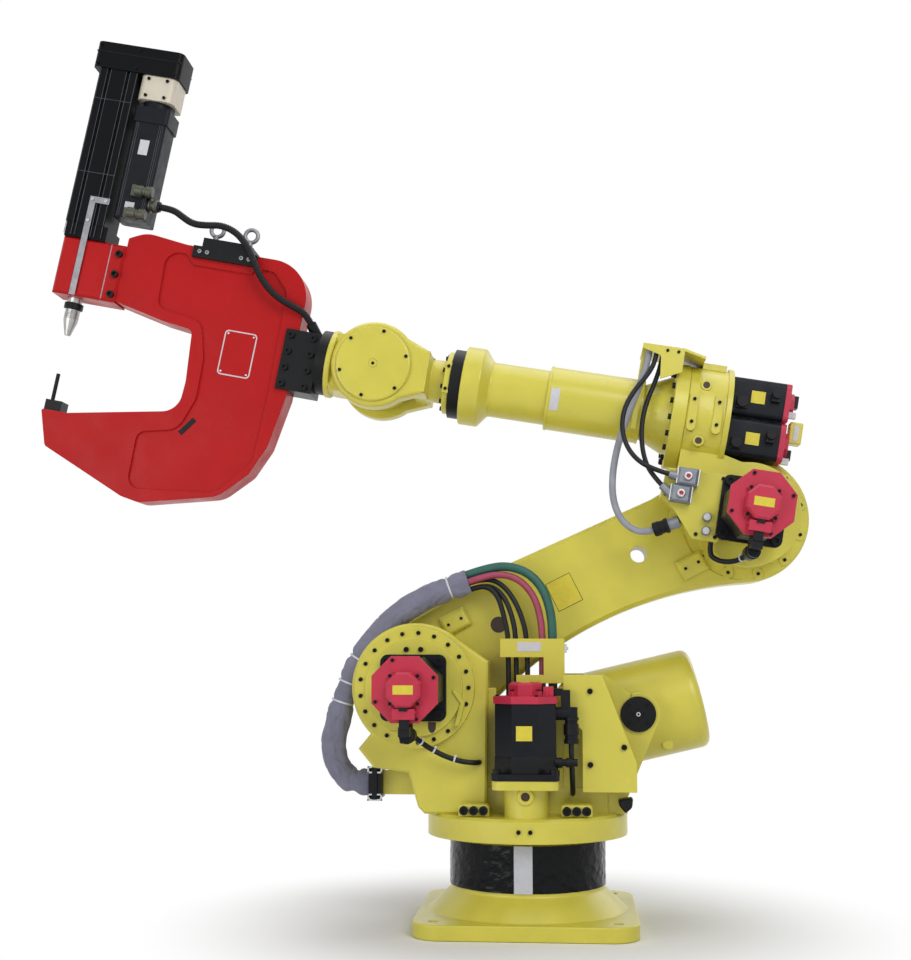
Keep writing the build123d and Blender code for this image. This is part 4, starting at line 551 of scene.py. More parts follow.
# Each plain hose: node, route, frame, body, diameter and length in mm, finish, stiffness
HOSES = (
    ("green_hose", GREEN_HOSE_ROUTE, WORLD, "turret", 26, 815, "hose_green", "stiff"),
    ("red_hose", RED_HOSE_ROUTE, WORLD, "turret", 20, 759, "hose_red", "stiff"),
    ("dress_cable_front", DRESS_FRONT_ROUTE, WORLD, "turret", 15, 633, "jacket_black", "limp"),
    ("dress_cable_middle", DRESS_MIDDLE_ROUTE, WORLD, "turret", 15, 653, "jacket_black", "limp"),
    ("dress_cable_rear", DRESS_REAR_ROUTE, WORLD, "turret", 15, 695, "jacket_black", "limp"),
    ("elbow_cable_upper", ELBOW_UPPER_ROUTE, ELBOW, "elbow", 14, 476, "jacket_black", "medium"),
    ("elbow_cable_lower", ELBOW_LOWER_ROUTE, ELBOW, "elbow", 14, 436, "jacket_black", "medium"),
    ("elbow_grey_cable", GREY_CABLE_ROUTE, ELBOW, "elbow", 20, 645, "jacket_grey", "limp"),
    ("turning_motor_cable", TURNING_LEAD_ROUTE, WORLD, "turret", 15, 205, "jacket_black", "medium"),
    ("shoulder_motor_cable", SHOULDER_LEAD_ROUTE, WORLD, "turret", 15, 291, "jacket_black", "medium"),
    ("elbow_motor_cable", ELBOW_LEAD_ROUTE, ELBOW, "elbow", 15, 221, "jacket_black", "medium"),
)


def route_line(name, route, place):
    """A smooth curve through a route's control points."""
    curve = bpy.data.curves.new(name, "CURVE")
    curve.dimensions = "3D"
    curve.resolution_u = 16
    line = curve.splines.new("NURBS")
    line.points.add(len(route) - 1)
    for point, control in zip(line.points, route):
        point.co = (*spot(place, control), 1.0)
    line.order_u = 3
    line.use_endpoint_u = True
    return curve


def line_points(route, place):
    """Points read off a route's smooth curve."""
    guide = bpy.data.objects.new("guide", route_line("guide", route, place))
    bpy.context.scene.collection.objects.link(guide)
    mesh = bpy.data.meshes.new_from_object(guide.evaluated_get(bpy.context.evaluated_depsgraph_get()))
    points = [vertex.co.copy() for vertex in mesh.vertices]
    bpy.data.objects.remove(guide)
    bpy.data.meshes.remove(mesh)
    return points


def spaced(points, step):
    """Points at an even step along a line, and the line's length so far at each."""
    run = [0.0]
    for before, after in zip(points, points[1:]):
        run.append(run[-1] + (after - before).length)
    count = max(2, round(run[-1] / step))
    found = []
    at = 0
    for index in range(count + 1):
        goal = run[-1] * index / count
        while at < len(run) - 2 and run[at + 1] < goal:
            at += 1
        share = (goal - run[at]) / max(run[at + 1] - run[at], 1e-9)
        found.append((points[at].lerp(points[at + 1], min(1.0, share)), goal))
    return found


def skin(shell, rings, smooth=False, capped=True):
    """Faces from each ring of points to the next, and over both ends."""
    for ring, following in zip(rings, rings[1:]):
        for index in range(len(ring)):
            after = (index + 1) % len(ring)
            shell.faces.new((ring[index], ring[after], following[after], following[index])).smooth = smooth
    if capped:
        shell.faces.new(rings[0][::-1])
        shell.faces.new(rings[-1])


def tube_mesh(name, points, radius_at, sides, step):
    """A closed tube along a line, with its radius given by the length so far and the angle round it."""
    stations = spaced(points, step)
    shell = bmesh.new()
    rings = []
    side = None
    for index, (centre, run) in enumerate(stations):
        ahead = stations[min(index + 1, len(stations) - 1)][0] - stations[max(index - 1, 0)][0]
        ahead.normalize()
        if side is None:
            side = ahead.orthogonal().normalized()
        side = (side - ahead * side.dot(ahead)).normalized()
        other = ahead.cross(side)
        ring = []
        for turn in range(sides):
            angle = 2 * math.pi * turn / sides
            out = side * math.cos(angle) + other * math.sin(angle)
            ring.append(shell.verts.new(centre + out * radius_at(run, angle)))
        rings.append(ring)
    skin(shell, rings, smooth=True)
    return mesh_from(shell, name)


def spot(place, point):
    """A point of a link's frame, in mm, as a place in the scene."""
    return place @ (Vector(point) * MM)


def add_box(shell, place, low, high, turn=0):
    """A box between two corners, turned about its frame's Z."""
    turned = place @ Matrix.Rotation(math.radians(turn), 4, "Z")
    corners = [shell.verts.new(spot(turned, (x, y, z)))
               for x in (low[0], high[0]) for y in (low[1], high[1]) for z in (low[2], high[2])]
    for face in ((0, 1, 3, 2), (4, 6, 7, 5), (0, 4, 5, 1), (2, 3, 7, 6), (0, 2, 6, 4), (1, 5, 7, 3)):
        shell.faces.new([corners[index] for index in face])


def add_prism(shell, place, outline, low, high):
    """A plate with its outline in X and Z and its thickness along Y."""
    skin(shell, [[shell.verts.new(spot(place, (x, y, z))) for x, z in outline] for y in (low, high)])


TURN_TO = {
    "X": Matrix.Rotation(math.radians(90), 4, "Y"),
    "Y": Matrix.Rotation(math.radians(-90), 4, "X"),
    "Z": Matrix.Identity(4),
}


def add_turned(shell, place, centre, axis, profile, start=0, sweep=360, sides=48):
    """A ring or part of one, turned from a closed profile of radius and height."""
    turned = place @ Matrix.Translation(Vector(centre) * MM) @ TURN_TO[axis]
    whole = sweep == 360
    count = sides if whole else max(4, round(sides * sweep / 360))
    rings = []
    for step in range(count if whole else count + 1):
        angle = math.radians(start + sweep * step / count)
        rings.append([
            shell.verts.new(spot(turned, (radius * math.cos(angle), radius * math.sin(angle), height)))
            for radius, height in profile])
    skin(shell, rings + rings[:1] if whole else rings, capped=not whole)


def add_disc(shell, place, centre, axis, radius, length, sides=32):
    """A round disc that stands on a centre and grows along an axis."""
    turned = place @ Matrix.Translation(Vector(centre) * MM) @ TURN_TO[axis]
    angles = [2 * math.pi * step / sides for step in range(sides)]
    skin(shell, [
        [shell.verts.new(spot(turned, (radius * math.cos(angle), radius * math.sin(angle), height)))
         for angle in angles] for height in (0, length)])


ADDERS = {"box": add_box, "prism": add_prism, "turned": add_turned, "disc": add_disc}


def trim(name, body, finish, shapes, edge_mm=0.8, place=None):
    """One piece from a list of shapes in its body's frame or in another, with its edges rounded."""
    shell = bmesh.new()
    for kind, *values in shapes:
        ADDERS[kind](shell, HOME[body] if place is None else place, *values)
    bmesh.ops.recalc_face_normals(shell, faces=shell.faces)
    return rounded(stand(name, mesh_from(shell, name), body, finish), edge_mm * MM)


def round_plate(centre, width, height, thick, corner):
    """A thin plate with round corners that faces along Y, by its back face's centre."""
    x, y, z = centre
    outline = []
    for turn, side, up in ((0, 1, 1), (90, -1, 1), (180, -1, -1), (270, 1, -1)):
        for step in range(5):
            angle = math.radians(turn + 22.5 * step)
            outline.append((x + side * (width / 2 - corner) + corner * math.cos(angle),
                            z + up * (height / 2 - corner) + corner * math.sin(angle)))
    return ("prism", outline, y, y + thick)


def plate(centre, width, height, thick):
    """A thin plate that faces along Y, by its back face's centre."""
    x, y, z = centre
    return ("box", (x - width / 2, y, z - height / 2), (x + width / 2, y + thick, z + height / 2))


def tilted(place, centre, turn):
    """A frame at a point of a link's frame, turned about Y by a number of degrees."""
    return place @ Matrix.Translation(Vector(centre) * MM) @ Matrix.Rotation(math.radians(turn), 4, "Y")


def along(place, start, end):
    """A frame at a point of a link's frame whose Z runs towards another point."""
    ahead = Vector(end) - Vector(start)
    return place @ Matrix.Translation(Vector(start) * MM) @ ahead.to_track_quat("Z", "Y").to_matrix().to_4x4()


# Rounding of thin labels and plates, and of hairlines, in mm
LABEL_EDGE = 0.3
HAIRLINE = 0.2
LABEL_THICK = 1

# Axes of the press and of its drive motor, and the middle of the plate on its side, in the tool's frame in mm
PRESS_AXIS = 985
DRIVE_AXIS = 856
SIDE_PLATE = (433, -27)


def motor_trim(name, body, motor):
    """Label, ears, cast end and connector of a servo motor, in the motor's frame along Z."""
    trim(name + "_ears", body, "cap_red", [
        *(("box", (44, -8, 226), (58, 8, 240), turn) for turn in (45, 135, 225, 315)),
        ("box", (-30, 50, 226), (30, 78, 252)), ("box", (-34, 56, 226), (34, 64, 244))], place=motor)
    trim(name + "_cast_end", body, "black_steel", [
        ("turned", (0, 0, 0), "Z", [(78, 18), (92.2, 18), (92.2, 60), (90.8, 64), (78, 64)], 22.5, 360, 8)],
        1, motor)
    trim(name + "_label", body, "label_yellow", [("box", (-27, -12, 264), (27, 12, 265))], LABEL_EDGE, motor)
    trim(name + "_connector", body, "black_nylon_and_hole_shade", [
        ("box", (-11, 40, 238), (11, 56, 258)), ("box", (-12, 72, 227), (12, 104, 247)),
        ("box", (-15, 98, 188), (15, 124, 243)), ("disc", (0, 126, 96), "Z", 20.5, 12),
        ("disc", (0, 126, 120), "Z", 21, 30), ("disc", (0, 126, 160), "Z", 21, 8)], place=motor)


class ROBOT_OT_motor_trim(bpy.types.Operator):
    """Put labels, ears and connectors on the motors"""

    bl_idname = "robot.motor_trim"
    bl_label = "Motor trim"

    def execute(self, context):
        motor_trim("shoulder_motor", "turret", SHOULDER_MOTOR)
        motor_trim("elbow_motor", "elbow", ELBOW_MOTOR)
        motor_trim("turning_motor", "turret", TURNING_MOTOR)
        trim("turning_motor_socket", "turret", "black_nylon_and_hole_shade", [
            ("disc", (start, 243, 468), "X", radius, length)
            for start, radius, length in ((-146, 10, 64), (-132, 13, 18), (-104, 14, 20))])
        trim("turning_motor_plate", "turret", "label_yellow", [
            plate((-1, 299, 549), 44, 40, LABEL_THICK)], LABEL_EDGE)
        trim("wrist_motor_labels", "elbow", "label_yellow", [
            plate((22, 115, z), 40, 36, LABEL_THICK) for z in (338, 216)], LABEL_EDGE)
        trim("wrist_motor_connectors", "elbow", "black_nylon_and_hole_shade", [
            *(("disc", (x, 108, z), "Y", radius, length) for rise in (120, 0)
              for x, z, radius, length in ((-28, 232 + rise, 13, 34), (66, 198 + rise, 16, 26))),
            *(("box", (-40, 108, z), (-16, 132, z + 30)) for z in (330, 210)),
            *(("box", (50, 108, z), (82, 124, z + 34)) for z in (300, 180))])
        trim("wrist_motor_end_caps", "elbow", "black_nylon_and_hole_shade", [
            ("box", (-98, 40, 330), (-84, 76, 366)), ("box", (-98, 40, 176), (-84, 72, 206))])
        trim("wrist_motor_tags", "elbow", "label_white", [
            ("box", (-94, 76, 296), (-72, 92, 314)), ("box", (-92, 72, 160), (-70, 90, 178))], 0.4)
        trim("limit_cap", "elbow", "yellow_sheet", [("box", (-122, 24, 226), (-84, 74, 290))], 4)
        trim("limit_cap_label", "elbow", "label_white", [
            plate((-104, 74, 258), 14, 46, LABEL_THICK)], LABEL_EDGE)
        return {"FINISHED"}


def balancer_end():
    """Profile of the round lip on the balancer's rear end, as radius and height in mm."""
    radius, rear, rounding, wall = 145, 192, 26, 3
    out, back = radius - rounding, rounding - rear
    turns = [math.radians(15 * step) for step in range(7)]
    lip = [(out + rounding * math.cos(turn), back - rounding * math.sin(turn)) for turn in turns]
    return lip + [(out, wall - rear), (radius - wall, back)]


class ROBOT_OT_shoulder_trim(bpy.types.Operator):
    """Add the turret's inner wall, rib, plugs, buckles and plain plates, and the balancer's round end"""

    bl_idname = "robot.shoulder_trim"
    bl_label = "Shoulder trim"

    def execute(self, context):
        trim("turret_inner_wall", "turret", "yellow", [
            ("prism", [(134, 316), (134, 640), (112, 668), (84, 668), (84, 560), (-84, 560), (-84, 660),
                       (-112, 692), (-152, 692), (-152, 316)], 101, 108)], 2)
        trim("shoulder_rib", "turret", "yellow", [
            ("prism", [(205, 660), (198, 666), (167, 627), (184, 564), (198, 564), (182, 627)], 185, 207)], 3)
        # Painted shade: a thin dull-brown plate on the turret's face where the shoulder's slot opens
        trim("shoulder_slot_shade", "turret", "brown_plug_and_hole_shade", [
            ("prism", [(271, 575), (249, 575), (249, 556), (254, 547), (260, 544), (266, 547), (271, 556)],
             201.4, 202.6)], LABEL_EDGE)
        trim("pedestal_plug", "turret", "yellow", [
            ("turned", (-3, 258, 378), "Y", [(12, 0), (24, 0), (24, 20), (21, 24), (12, 24)])], 2)
        trim("pedestal_plug_centre", "turret", "brown_plug_and_hole_shade", [("disc", (-3, 258, 378), "Y", 12.2, 18)], 0.4)
        trim("clamp_latch", "turret", "zinc", [
            ("box", (-119, 96, 768), (-111, 118, 793)), ("box", (-123, 102, 776), (-118, 112, 785))])
        trim("clamp_label", "turret", "label_white", [
            plate((-11, 122, 785), 68, 26, LABEL_THICK)], LABEL_EDGE)
        trim("arm_bore_plug", "lower_arm", "brown_plug_and_hole_shade", [("disc", (55, -5.6, 287), "Y", 24, 1)], 0.4)
        trim("sleeve_buckle", "turret", "black_steel", [
            ("box", (418, 30, 436), (446, 120, 444)), ("box", (418, 30, 352), (446, 120, 360)),
            ("box", (424, 117, 352), (440, 122, 444))], 2)
        trim("base_film_strip", "base", "tape_white", [
            ("turned", (0, 0, 112), "Z", [(225.4, 0), (226.4, 0), (226.4, 128), (225.4, 128)], 82, 13, 240)],
            HAIRLINE)
        trim("sleeve_buckles", "turret", "zinc", [
            *(("box", (410, 114, z), (453, 121, z + 5)) for z in (349, 364, 426, 441)),
            *(("box", (x, 114, z), (x + 5, 121, z + 20)) for x in (410, 448) for z in (349, 426))])
        trim("rear_boot", "turret", "black_nylon_and_hole_shade", [
            ("prism", [(-258, 360), (-300, 366), (-297, 338), (-278, 322), (-261, 344)], 104, 152)], 6)
        trim("balancer_end_round", "balancer_cylinder", "yellow", [
            ("turned", (0, 0, 0), "X", balancer_end(), 0, 360, 96)], place=BALANCER)
        trim("balancer_boss", "balancer_cylinder", "yellow", [("disc", (-406, -20, 505), "Y", 17, 42)], 5)
        return {"FINISHED"}


class ROBOT_OT_elbow_trim(bpy.types.Operator):
    """Add the plugs, connector faces, bands and plain plates of the elbow, arm and forearm"""

    bl_idname = "robot.elbow_trim"
    bl_label = "Elbow trim"

    def execute(self, context):
        trim("gearbox_plugs", "elbow", "brown_plug_and_hole_shade", [
            ("disc", (175, 141, z), "Y", 10, 1.6) for z in (347, 183)], 0.4)
        connectors = ((192, 205, 68), (205, 205, 17))
        trim("connector_collars", "elbow", "zinc", [
            ("turned", face, "Y", [(6, 0), (12, 0), (12, 9), (10, 11), (6, 11)]) for face in connectors])
        trim("connector_centres", "elbow", "cap_red", [
            ("disc", face, "Y", 6.2, 8) for face in connectors], 0.6)
        trim("yoke_pad", "forearm", "yellow", [("box", (917, 76, -46), (937, 96, 46))], 3)
        trim("yoke_plugs", "forearm", "yellow", [
            ("turned", (1145, side * 136, 0), "Y", [(5, 0), (12.4, 0), (12.4, side * 10.4), (5, side * 10.4)])
            for side in (-1, 1)], 0.5)
        # Painted shade: black discs in the middle of the yoke covers' holes, standing in for the dark inside
        # of the holes
        trim("yoke_hole_shade_discs", "forearm", "black_nylon_and_hole_shade", [
            ("disc", (1145, y, 0), "Y", 5.2, 9) for y in (136, -145)], LABEL_EDGE)
        trim("grey_cable_coupling", "elbow", "black_nylon_and_hole_shade", [
            ("turned", (0, 0, 0), "Z", [
                (10.6, 26), (18, 26), (21, 30), (21, 46), (19, 48), (19, 60), (22, 62), (22, 72),
                (10.6, 72)])],
            place=along(ELBOW, *GREY_CABLE_ROUTE[-2:]))
        trim("connector_levers", "elbow", "zinc", [
            ("box", (x, 178, z), (x + 4, 202, z + 48))
            for x, z in ((160, 44), (220, 44), (173, -7), (233, -7))])
        trim("port_caps", "elbow", "zinc", [
            ("disc", (x, 187, z), "Y", 10, 6) for x, z in ((122.2, -36.4), (119.6, -75.4))], 1)
        trim("arm_plate_edge", "lower_arm", "black_nylon_and_hole_shade", [plate((0, 0, 0), 80, 90, 0.8)], HAIRLINE,
             tilted(WORLD, (-112, -5.4, 946), 26.6))
        trim("arm_plate", "lower_arm", "label_yellow", [plate((0, 0, 0), 77, 87, LABEL_THICK)], HAIRLINE,
             tilted(WORLD, (-112, -5.2, 946), 26.6))
        trim("forearm_bands", "forearm", "yellow_sheet", [
            ("turned", (0, 0, 0), "X", [(94, near), (97, near), (97, far), (94, far)])
            for near, far in ((346, 352), (620, 627))])
        trim("forearm_label", "forearm", "label_white", [
            ("turned", (0, 0, 0), "X", [(94.6, 590), (95.9, 590), (95.9, 616), (94.6, 616)], 60, 40, 180)],
            HAIRLINE)
        return {"FINISHED"}


class ROBOT_OT_tool_trim(bpy.types.Operator):
    """Add the press tool's plain plates, seams, collars and connectors"""

    bl_idname = "robot.tool_trim"
    bl_label = "Tool trim"

    def execute(self, context):
        x, z = SIDE_PLATE
        trim("frame_plate_edge", "tool", "label_white", [
            round_plate((x, 40.4, z), 102, 140, 1.4, 12)], LABEL_EDGE)
        trim("frame_plate", "tool", "red", [round_plate((x, 41, z), 94, 132, 1.4, 9)], LABEL_EDGE)
        trim("frame_plate_pins", "tool", "zinc", [
            ("disc", (x + across, 42, z + up), "Y", 3, 1.4, 12)
            for across in (-40, 40) for up in (-59, 59)], 0.4)
        trim("frame_small_plate", "tool", "black_steel", [plate((0, 0, 0), 62, 16, 1.2)], LABEL_EDGE,
             tilted(TOOL, (538, 40.6, -272), 54))
        trim("head_seam", "tool", "rolled_steel", [
            ("box", (884, near, 66), (887, far, 239))
            for near, far in ((57.4, 58.5), (-58.5, -57.4))], LABEL_EDGE)
        trim("drive_labels", "tool", "label_white", [
            plate((858, 51.6, 560), 30, 48, LABEL_THICK),
            plate((862, 51.6, 370), 30, 24, LABEL_THICK)], LABEL_EDGE)
        trim("drive_connectors", "tool", "olive", [
            ("turned", (776, 36, 385), "X", [
                (0.5, 0), (19, 0), (21, 4), (21, 14), (17, 16), (17, 21), (22, 22), (22, 28), (0.5, 28)]),
            *(("turned", (start, 66, z), "X", [
                (0.5, 0), (15, 0), (18, 4), (18, 20), (14, 22), (14, 30), (17, 32), (17, length),
                (0.5, length)])
              for start, z, length in ((792, 418, 56), (800, 345, 58))),
            ("box", (826, 51, 400), (862, 66, 436)), ("box", (836, 51, 331), (872, 66, 360))])
        # Painted glints: thin grey strips on the corners, slot edges and joints of the column and on the
        # corners of the drive, where those edges catch the light
        sides = (-62, 62)
        trim("column_edge_glints", "tool", "painted_edge_glint", [
            ("box", (PRESS_AXIS + x - 0.9, y - 0.6, 250), (PRESS_AXIS + x + 0.9, y + 0.6, 788))
            for x in (-59, -37, -25, 25, 37, 59) for y in sides], HAIRLINE)
        trim("column_joint_glints", "tool", "painted_edge_glint", [
            ("box", (PRESS_AXIS - 61, y - 0.5, z), (PRESS_AXIS + 61, y + 0.5, z + 1.6))
            for z in (452, 690) for y in sides], HAIRLINE)
        trim("drive_edge_glints", "tool", "painted_edge_glint", [
            ("box", (DRIVE_AXIS + x - 0.8, y - 0.6, 334), (DRIVE_AXIS + x + 0.8, y + 0.6, 638))
            for x in (-40, -34, 34, 40) for y in (-52, 52)], HAIRLINE)
        trim("belt_seam", "tool", "black_steel", [("box", (796, -67, 840), (1068, 67, 843))], 0.4)
        trim("punch_rings", "ram", "black_steel", [
            ("turned", (PRESS_AXIS, 0, 26), "Z", [(20, 0), (29, 2), (29, 20), (20, 22)])], 1)
        trim("punch_thread", "ram", "steel", [
            ("turned", (PRESS_AXIS, 0, low), "Z", [(21, 0), (23.4, 1.5), (21, 3)])
            for low in range(-4, 26, 4)], HAIRLINE)
        return {"FINISHED"}


def circle(centre, axis, radius, count, start=0):
    """Points at an even step on a circle about an axis."""
    turned = Matrix.Translation(Vector(centre)) @ TURN_TO[axis]
    angles = [math.radians(start + 360 * step / count) for step in range(count)]
    return [turned @ Vector((radius * math.cos(angle), radius * math.sin(angle), 0)) for angle in angles]


# Ways that a screw faces
FRONT = (0, 1, 0)
REAR = (0, -1, 0)
AHEAD = (1, 0, 0)
MOTOR_END = (0, 0, 1)


def screws(body, size, places, facing=FRONT, finish="black_steel", place=None):
    """One row of screws: their head size and places in mm, in their body's frame or in another."""
    return (body, finish, HOME[body] if place is None else place, facing, size, places)


def motor_screws(body, motor, size, reach):
    """The rows of a servo motor's screws: four at its flange, and eight on its end cap."""
    flange = [(x, y, 18) for x in (-reach, reach) for y in (-reach, reach)]
    cap = circle((0, 0, 225), "Z", 84, 4, 22.5) + circle((0, 0, 239), "Z", 52, 4, 45)
    return (screws(body, size, flange, MOTOR_END, place=motor), screws(body, 10, cap, MOTOR_END, place=motor))


SCREWS = (
    *motor_screws("turret", SHOULDER_MOTOR, 26, 74),
    *motor_screws("turret", TURNING_MOTOR, 22, 78),
    screws("turret", 12, circle((312, 183.2, 670), "Y", 154, 21, 8.6)),
    screws("turret", 16, [(-182, 190, 661), (-181, 190, 459), (-275, 190, 507)]),
    screws("turret", 25, [(side * 142 + step, 218, 335) for side in (-1, 1) for step in (-27, 0, 27)]),
    screws("turret", 12, [(-16, 286.5, 285), (16, 286.5, 285)]),
    screws("turret", 13, circle((-319, 116, 595), "Y", 36, 4, 45)),
    screws("turret", 8, circle((-319, 118, 595), "Y", 15, 4)),
    screws("turret", 12, [(-319, 116, 595)], finish="zinc"),
    screws("turret", 15, [(333, 199, 777), (292, 199, 777)]),
    screws("lower_arm", 10, circle((0, -6.8, 1075), "Y", 169, 12, -15)),
    screws("lower_arm", 9, [(122, 13, 156), (122, 13, 198), (-53, 13, 850), (-53, 13, 892)]),
    *motor_screws("elbow", ELBOW_MOTOR, 26, 74),
    screws("elbow", 10, [(x, 160, z) for x in (203.75, 132.5) for z in (298, 232)]),
    screws("elbow", 11, [(92, 170, 80), (92, 170, -88), (146, 170, -88), (246, 170, 12)]),
    screws("elbow", 9, [(268, 144, 430), (300, 144, 430)]),
    screws("forearm", 17, circle((261, 0, 0), "X", 140, 18), AHEAD),
    screws("forearm", 14, circle((936, 0, 0), "X", 80, 10), AHEAD),
    screws("forearm", 10, [(927, 94, 34), (927, 94, -34)]),
    screws("forearm", 10, circle((1145, 145.5, 0), "Y", 100, 6, 20)),
    screws("forearm", 10, circle((1145, -145.5, 0), "Y", 100, 6, 20), REAR),
    *(screws("tool", 20, [(x, facing[1] * 60.5, z) for x in (206, 276) for z in (-94, -44, 6, 56)], facing)
      for facing in (FRONT, REAR)),
    *(screws("tool", 13, [(x, facing[1] * 62, 262) for x in (452, 476, 584, 608)], facing, "rolled_steel")
      for facing in (FRONT, REAR)),
    *(screws("tool", 22, [(DRIVE_AXIS, facing[1] * 56, z) for z in (84, 148, 212)], facing)
      for facing in (FRONT, REAR)),
    screws("tool", 9, [(932, 65, 368), (975, 65, 368), (975, 65, 300)], finish="zinc"),
    screws("tool", 9, [(x, 65.4, z) for x in (806, 932, 1058) for z in (802, 862)]),
    screws("tool", 10, [(x, 58, z) for x in (826, 886) for z in (724, 778)]),
)


def screw_tree():
    """Nodes that stand a socket-head screw on every point, by its own size and facing."""
    tree = bpy.data.node_groups.new("screw_field", "GeometryNodeTree")
    tree.interface.new_socket("Points", in_out="INPUT", socket_type="NodeSocketGeometry")
    for name, default in (("Head height", 0.6), ("Socket width", 0.56), ("Socket depth", 0.34)):
        tree.interface.new_socket(name, in_out="INPUT", socket_type="NodeSocketFloat").default_value = default
    tree.interface.new_socket("Finish", in_out="INPUT", socket_type="NodeSocketMaterial")
    tree.interface.new_socket("Screws", in_out="OUTPUT", socket_type="NodeSocketGeometry")
    given = node(tree, "NodeGroupInput").outputs
    head = node(tree, "GeometryNodeMeshCylinder", {
        "Vertices": 18, "Radius": 0.5, "Depth": given["Head height"]})
    rim = node(tree, "GeometryNodeExtrudeMesh", {
        "Mesh": head.outputs["Mesh"], "Selection": head.outputs["Top"], "Offset Scale": 0.0})
    socket = node(tree, "GeometryNodeScaleElements", {
        "Geometry": rim.outputs["Mesh"], "Selection": rim.outputs["Top"], "Scale": given["Socket width"]})
    sink = node(tree, "ShaderNodeMath", {0: given["Socket depth"], 1: -1.0}, operation="MULTIPLY")
    hollow = node(tree, "GeometryNodeExtrudeMesh", {
        "Mesh": socket.outputs["Geometry"], "Selection": rim.outputs["Top"], "Offset Scale": sink.outputs[0]})
    half = node(tree, "ShaderNodeMath", {0: given["Head height"], 1: 0.5}, operation="MULTIPLY")
    lift = node(tree, "ShaderNodeCombineXYZ", {"Z": half.outputs[0]})
    seated = node(tree, "GeometryNodeTransform", {
        "Geometry": hollow.outputs["Mesh"], "Translation": lift.outputs["Vector"]})
    facing = node(tree, "GeometryNodeInputNamedAttribute", {"Name": "facing"}, data_type="FLOAT_VECTOR")
    size = node(tree, "GeometryNodeInputNamedAttribute", {"Name": "size"}, data_type="FLOAT")
    turn = node(tree, "FunctionNodeAlignRotationToVector", {"Vector": facing.outputs["Attribute"]}, axis="Z")
    spread = node(tree, "GeometryNodeInstanceOnPoints", {
        "Points": given["Points"], "Instance": seated.outputs["Geometry"],
        "Rotation": turn.outputs["Rotation"], "Scale": size.outputs["Attribute"]})
    real = node(tree, "GeometryNodeRealizeInstances", {"Geometry": spread.outputs["Instances"]})
    painted = node(tree, "GeometryNodeSetMaterial", {
        "Geometry": real.outputs["Geometry"], "Material": given["Finish"]})
    node(tree, "NodeGroupOutput", {"Screws": painted.outputs["Geometry"]})
    return tree


class ROBOT_OT_screws(bpy.types.Operator):
    """Drive every screw, one mesh for each body and finish"""

    bl_idname = "robot.screws"
    bl_label = "Screws"

    def execute(self, context):
        tree = screw_tree()
        inputs = {item.name: item.identifier for item in tree.interface.items_tree if item.in_out == "INPUT"}
        groups = {}
        for body, finish, place, facing, size, places in SCREWS:
            row = groups.setdefault((body, finish), [])
            row += [(spot(place, point), place.to_3x3() @ Vector(facing), size * MM) for point in places]
        for (body, finish), row in groups.items():
            name = body + "_screws_" + finish
            points = bpy.data.meshes.new(name + "_points")
            points.from_pydata([where for where, _, _ in row], [], [])
            points.attributes.new("facing", "FLOAT_VECTOR", "POINT").data.foreach_set(
                "vector", [part for _, facing, _ in row for part in facing])
            points.attributes.new("size", "FLOAT", "POINT").data.foreach_set(
                "value", [size for _, _, size in row])
            field = bpy.data.objects.new(name + "_points", points)
            context.scene.collection.objects.link(field)
            modifier = field.modifiers.new("screws", "NODES")
            modifier.node_group = tree
            modifier[inputs["Finish"]] = FINISH[finish]
            context.view_layer.update()
            mesh = bpy.data.meshes.new_from_object(field.evaluated_get(context.evaluated_depsgraph_get()))
            bpy.data.objects.remove(field)
            mesh.name = name
            stand(name, mesh, body, finish)
        return {"FINISHED"}


# Cable ties: name, body, route, frame, band radius in mm and shares of the route's length
SLEEVE_TIES = (0.36, 0.43, 0.52, 0.93)
TIES = (
    ("sleeve_ties", "turret", SLEEVE_ROUTE, WORLD, 30.0, SLEEVE_TIES),
    ("shoulder_lead_ties", "turret", SHOULDER_LEAD_ROUTE, WORLD, 8.2, (0.30, 0.46, 0.68)),
    ("elbow_lead_ties", "elbow", ELBOW_LEAD_ROUTE, ELBOW, 8.2, (0.35,)),
)


class ROBOT_OT_ties(bpy.types.Operator):
    """Draw the cable ties tight"""

    bl_idname = "robot.ties"
    bl_label = "Cable ties"

    def execute(self, context):
        half = context.scene.press_robot_sizes.tie_width / MM / 2
        for name, body, route, place, radius, shares in TIES:
            points = [point for point, _ in spaced(line_points(route, place), step=0.002)]
            inner, outer = radius - 1.5, radius + 1.0
            shell = bmesh.new()
            for share in shares:
                at = min(len(points) - 2, round(share * (len(points) - 1)))
                ahead = (points[at + 1] - points[at - 1]).normalized()
                band = Matrix.Translation(points[at]) @ ahead.to_track_quat("Z", "X").to_matrix().to_4x4()
                add_turned(shell, band, (0, 0, 0), "Z", [
                    (inner, -half), (outer, -half), (outer, half), (inner, half)])
                add_box(shell, band, (radius - 1, -half - 1, -half - 1), (radius + 5, half + 1, half + 1))
            bmesh.ops.recalc_face_normals(shell, faces=shell.faces)
            stand(name, mesh_from(shell, name), body, "nylon_white")
        return {"FINISHED"}


class ROBOT_OT_hoses(bpy.types.Operator):
    """Lay the hoses and cables along their routes"""

    bl_idname = "robot.hoses"
    bl_label = "Hoses and cables"

    def execute(self, context):
        for part, route, place, body, width, length, finish, stiffness in HOSES:
            curve = route_line(part + "_line", route, place)
            curve.bevel_depth = width * MM / 2
            curve.bevel_resolution = 6
            curve.use_fill_caps = True
            curve.materials.append(FINISH[finish])
            piece = bpy.data.objects.new(part + "_line", curve)
            context.scene.collection.objects.link(piece)
            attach(piece, body)
            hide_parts(part)
        return {"FINISHED"}


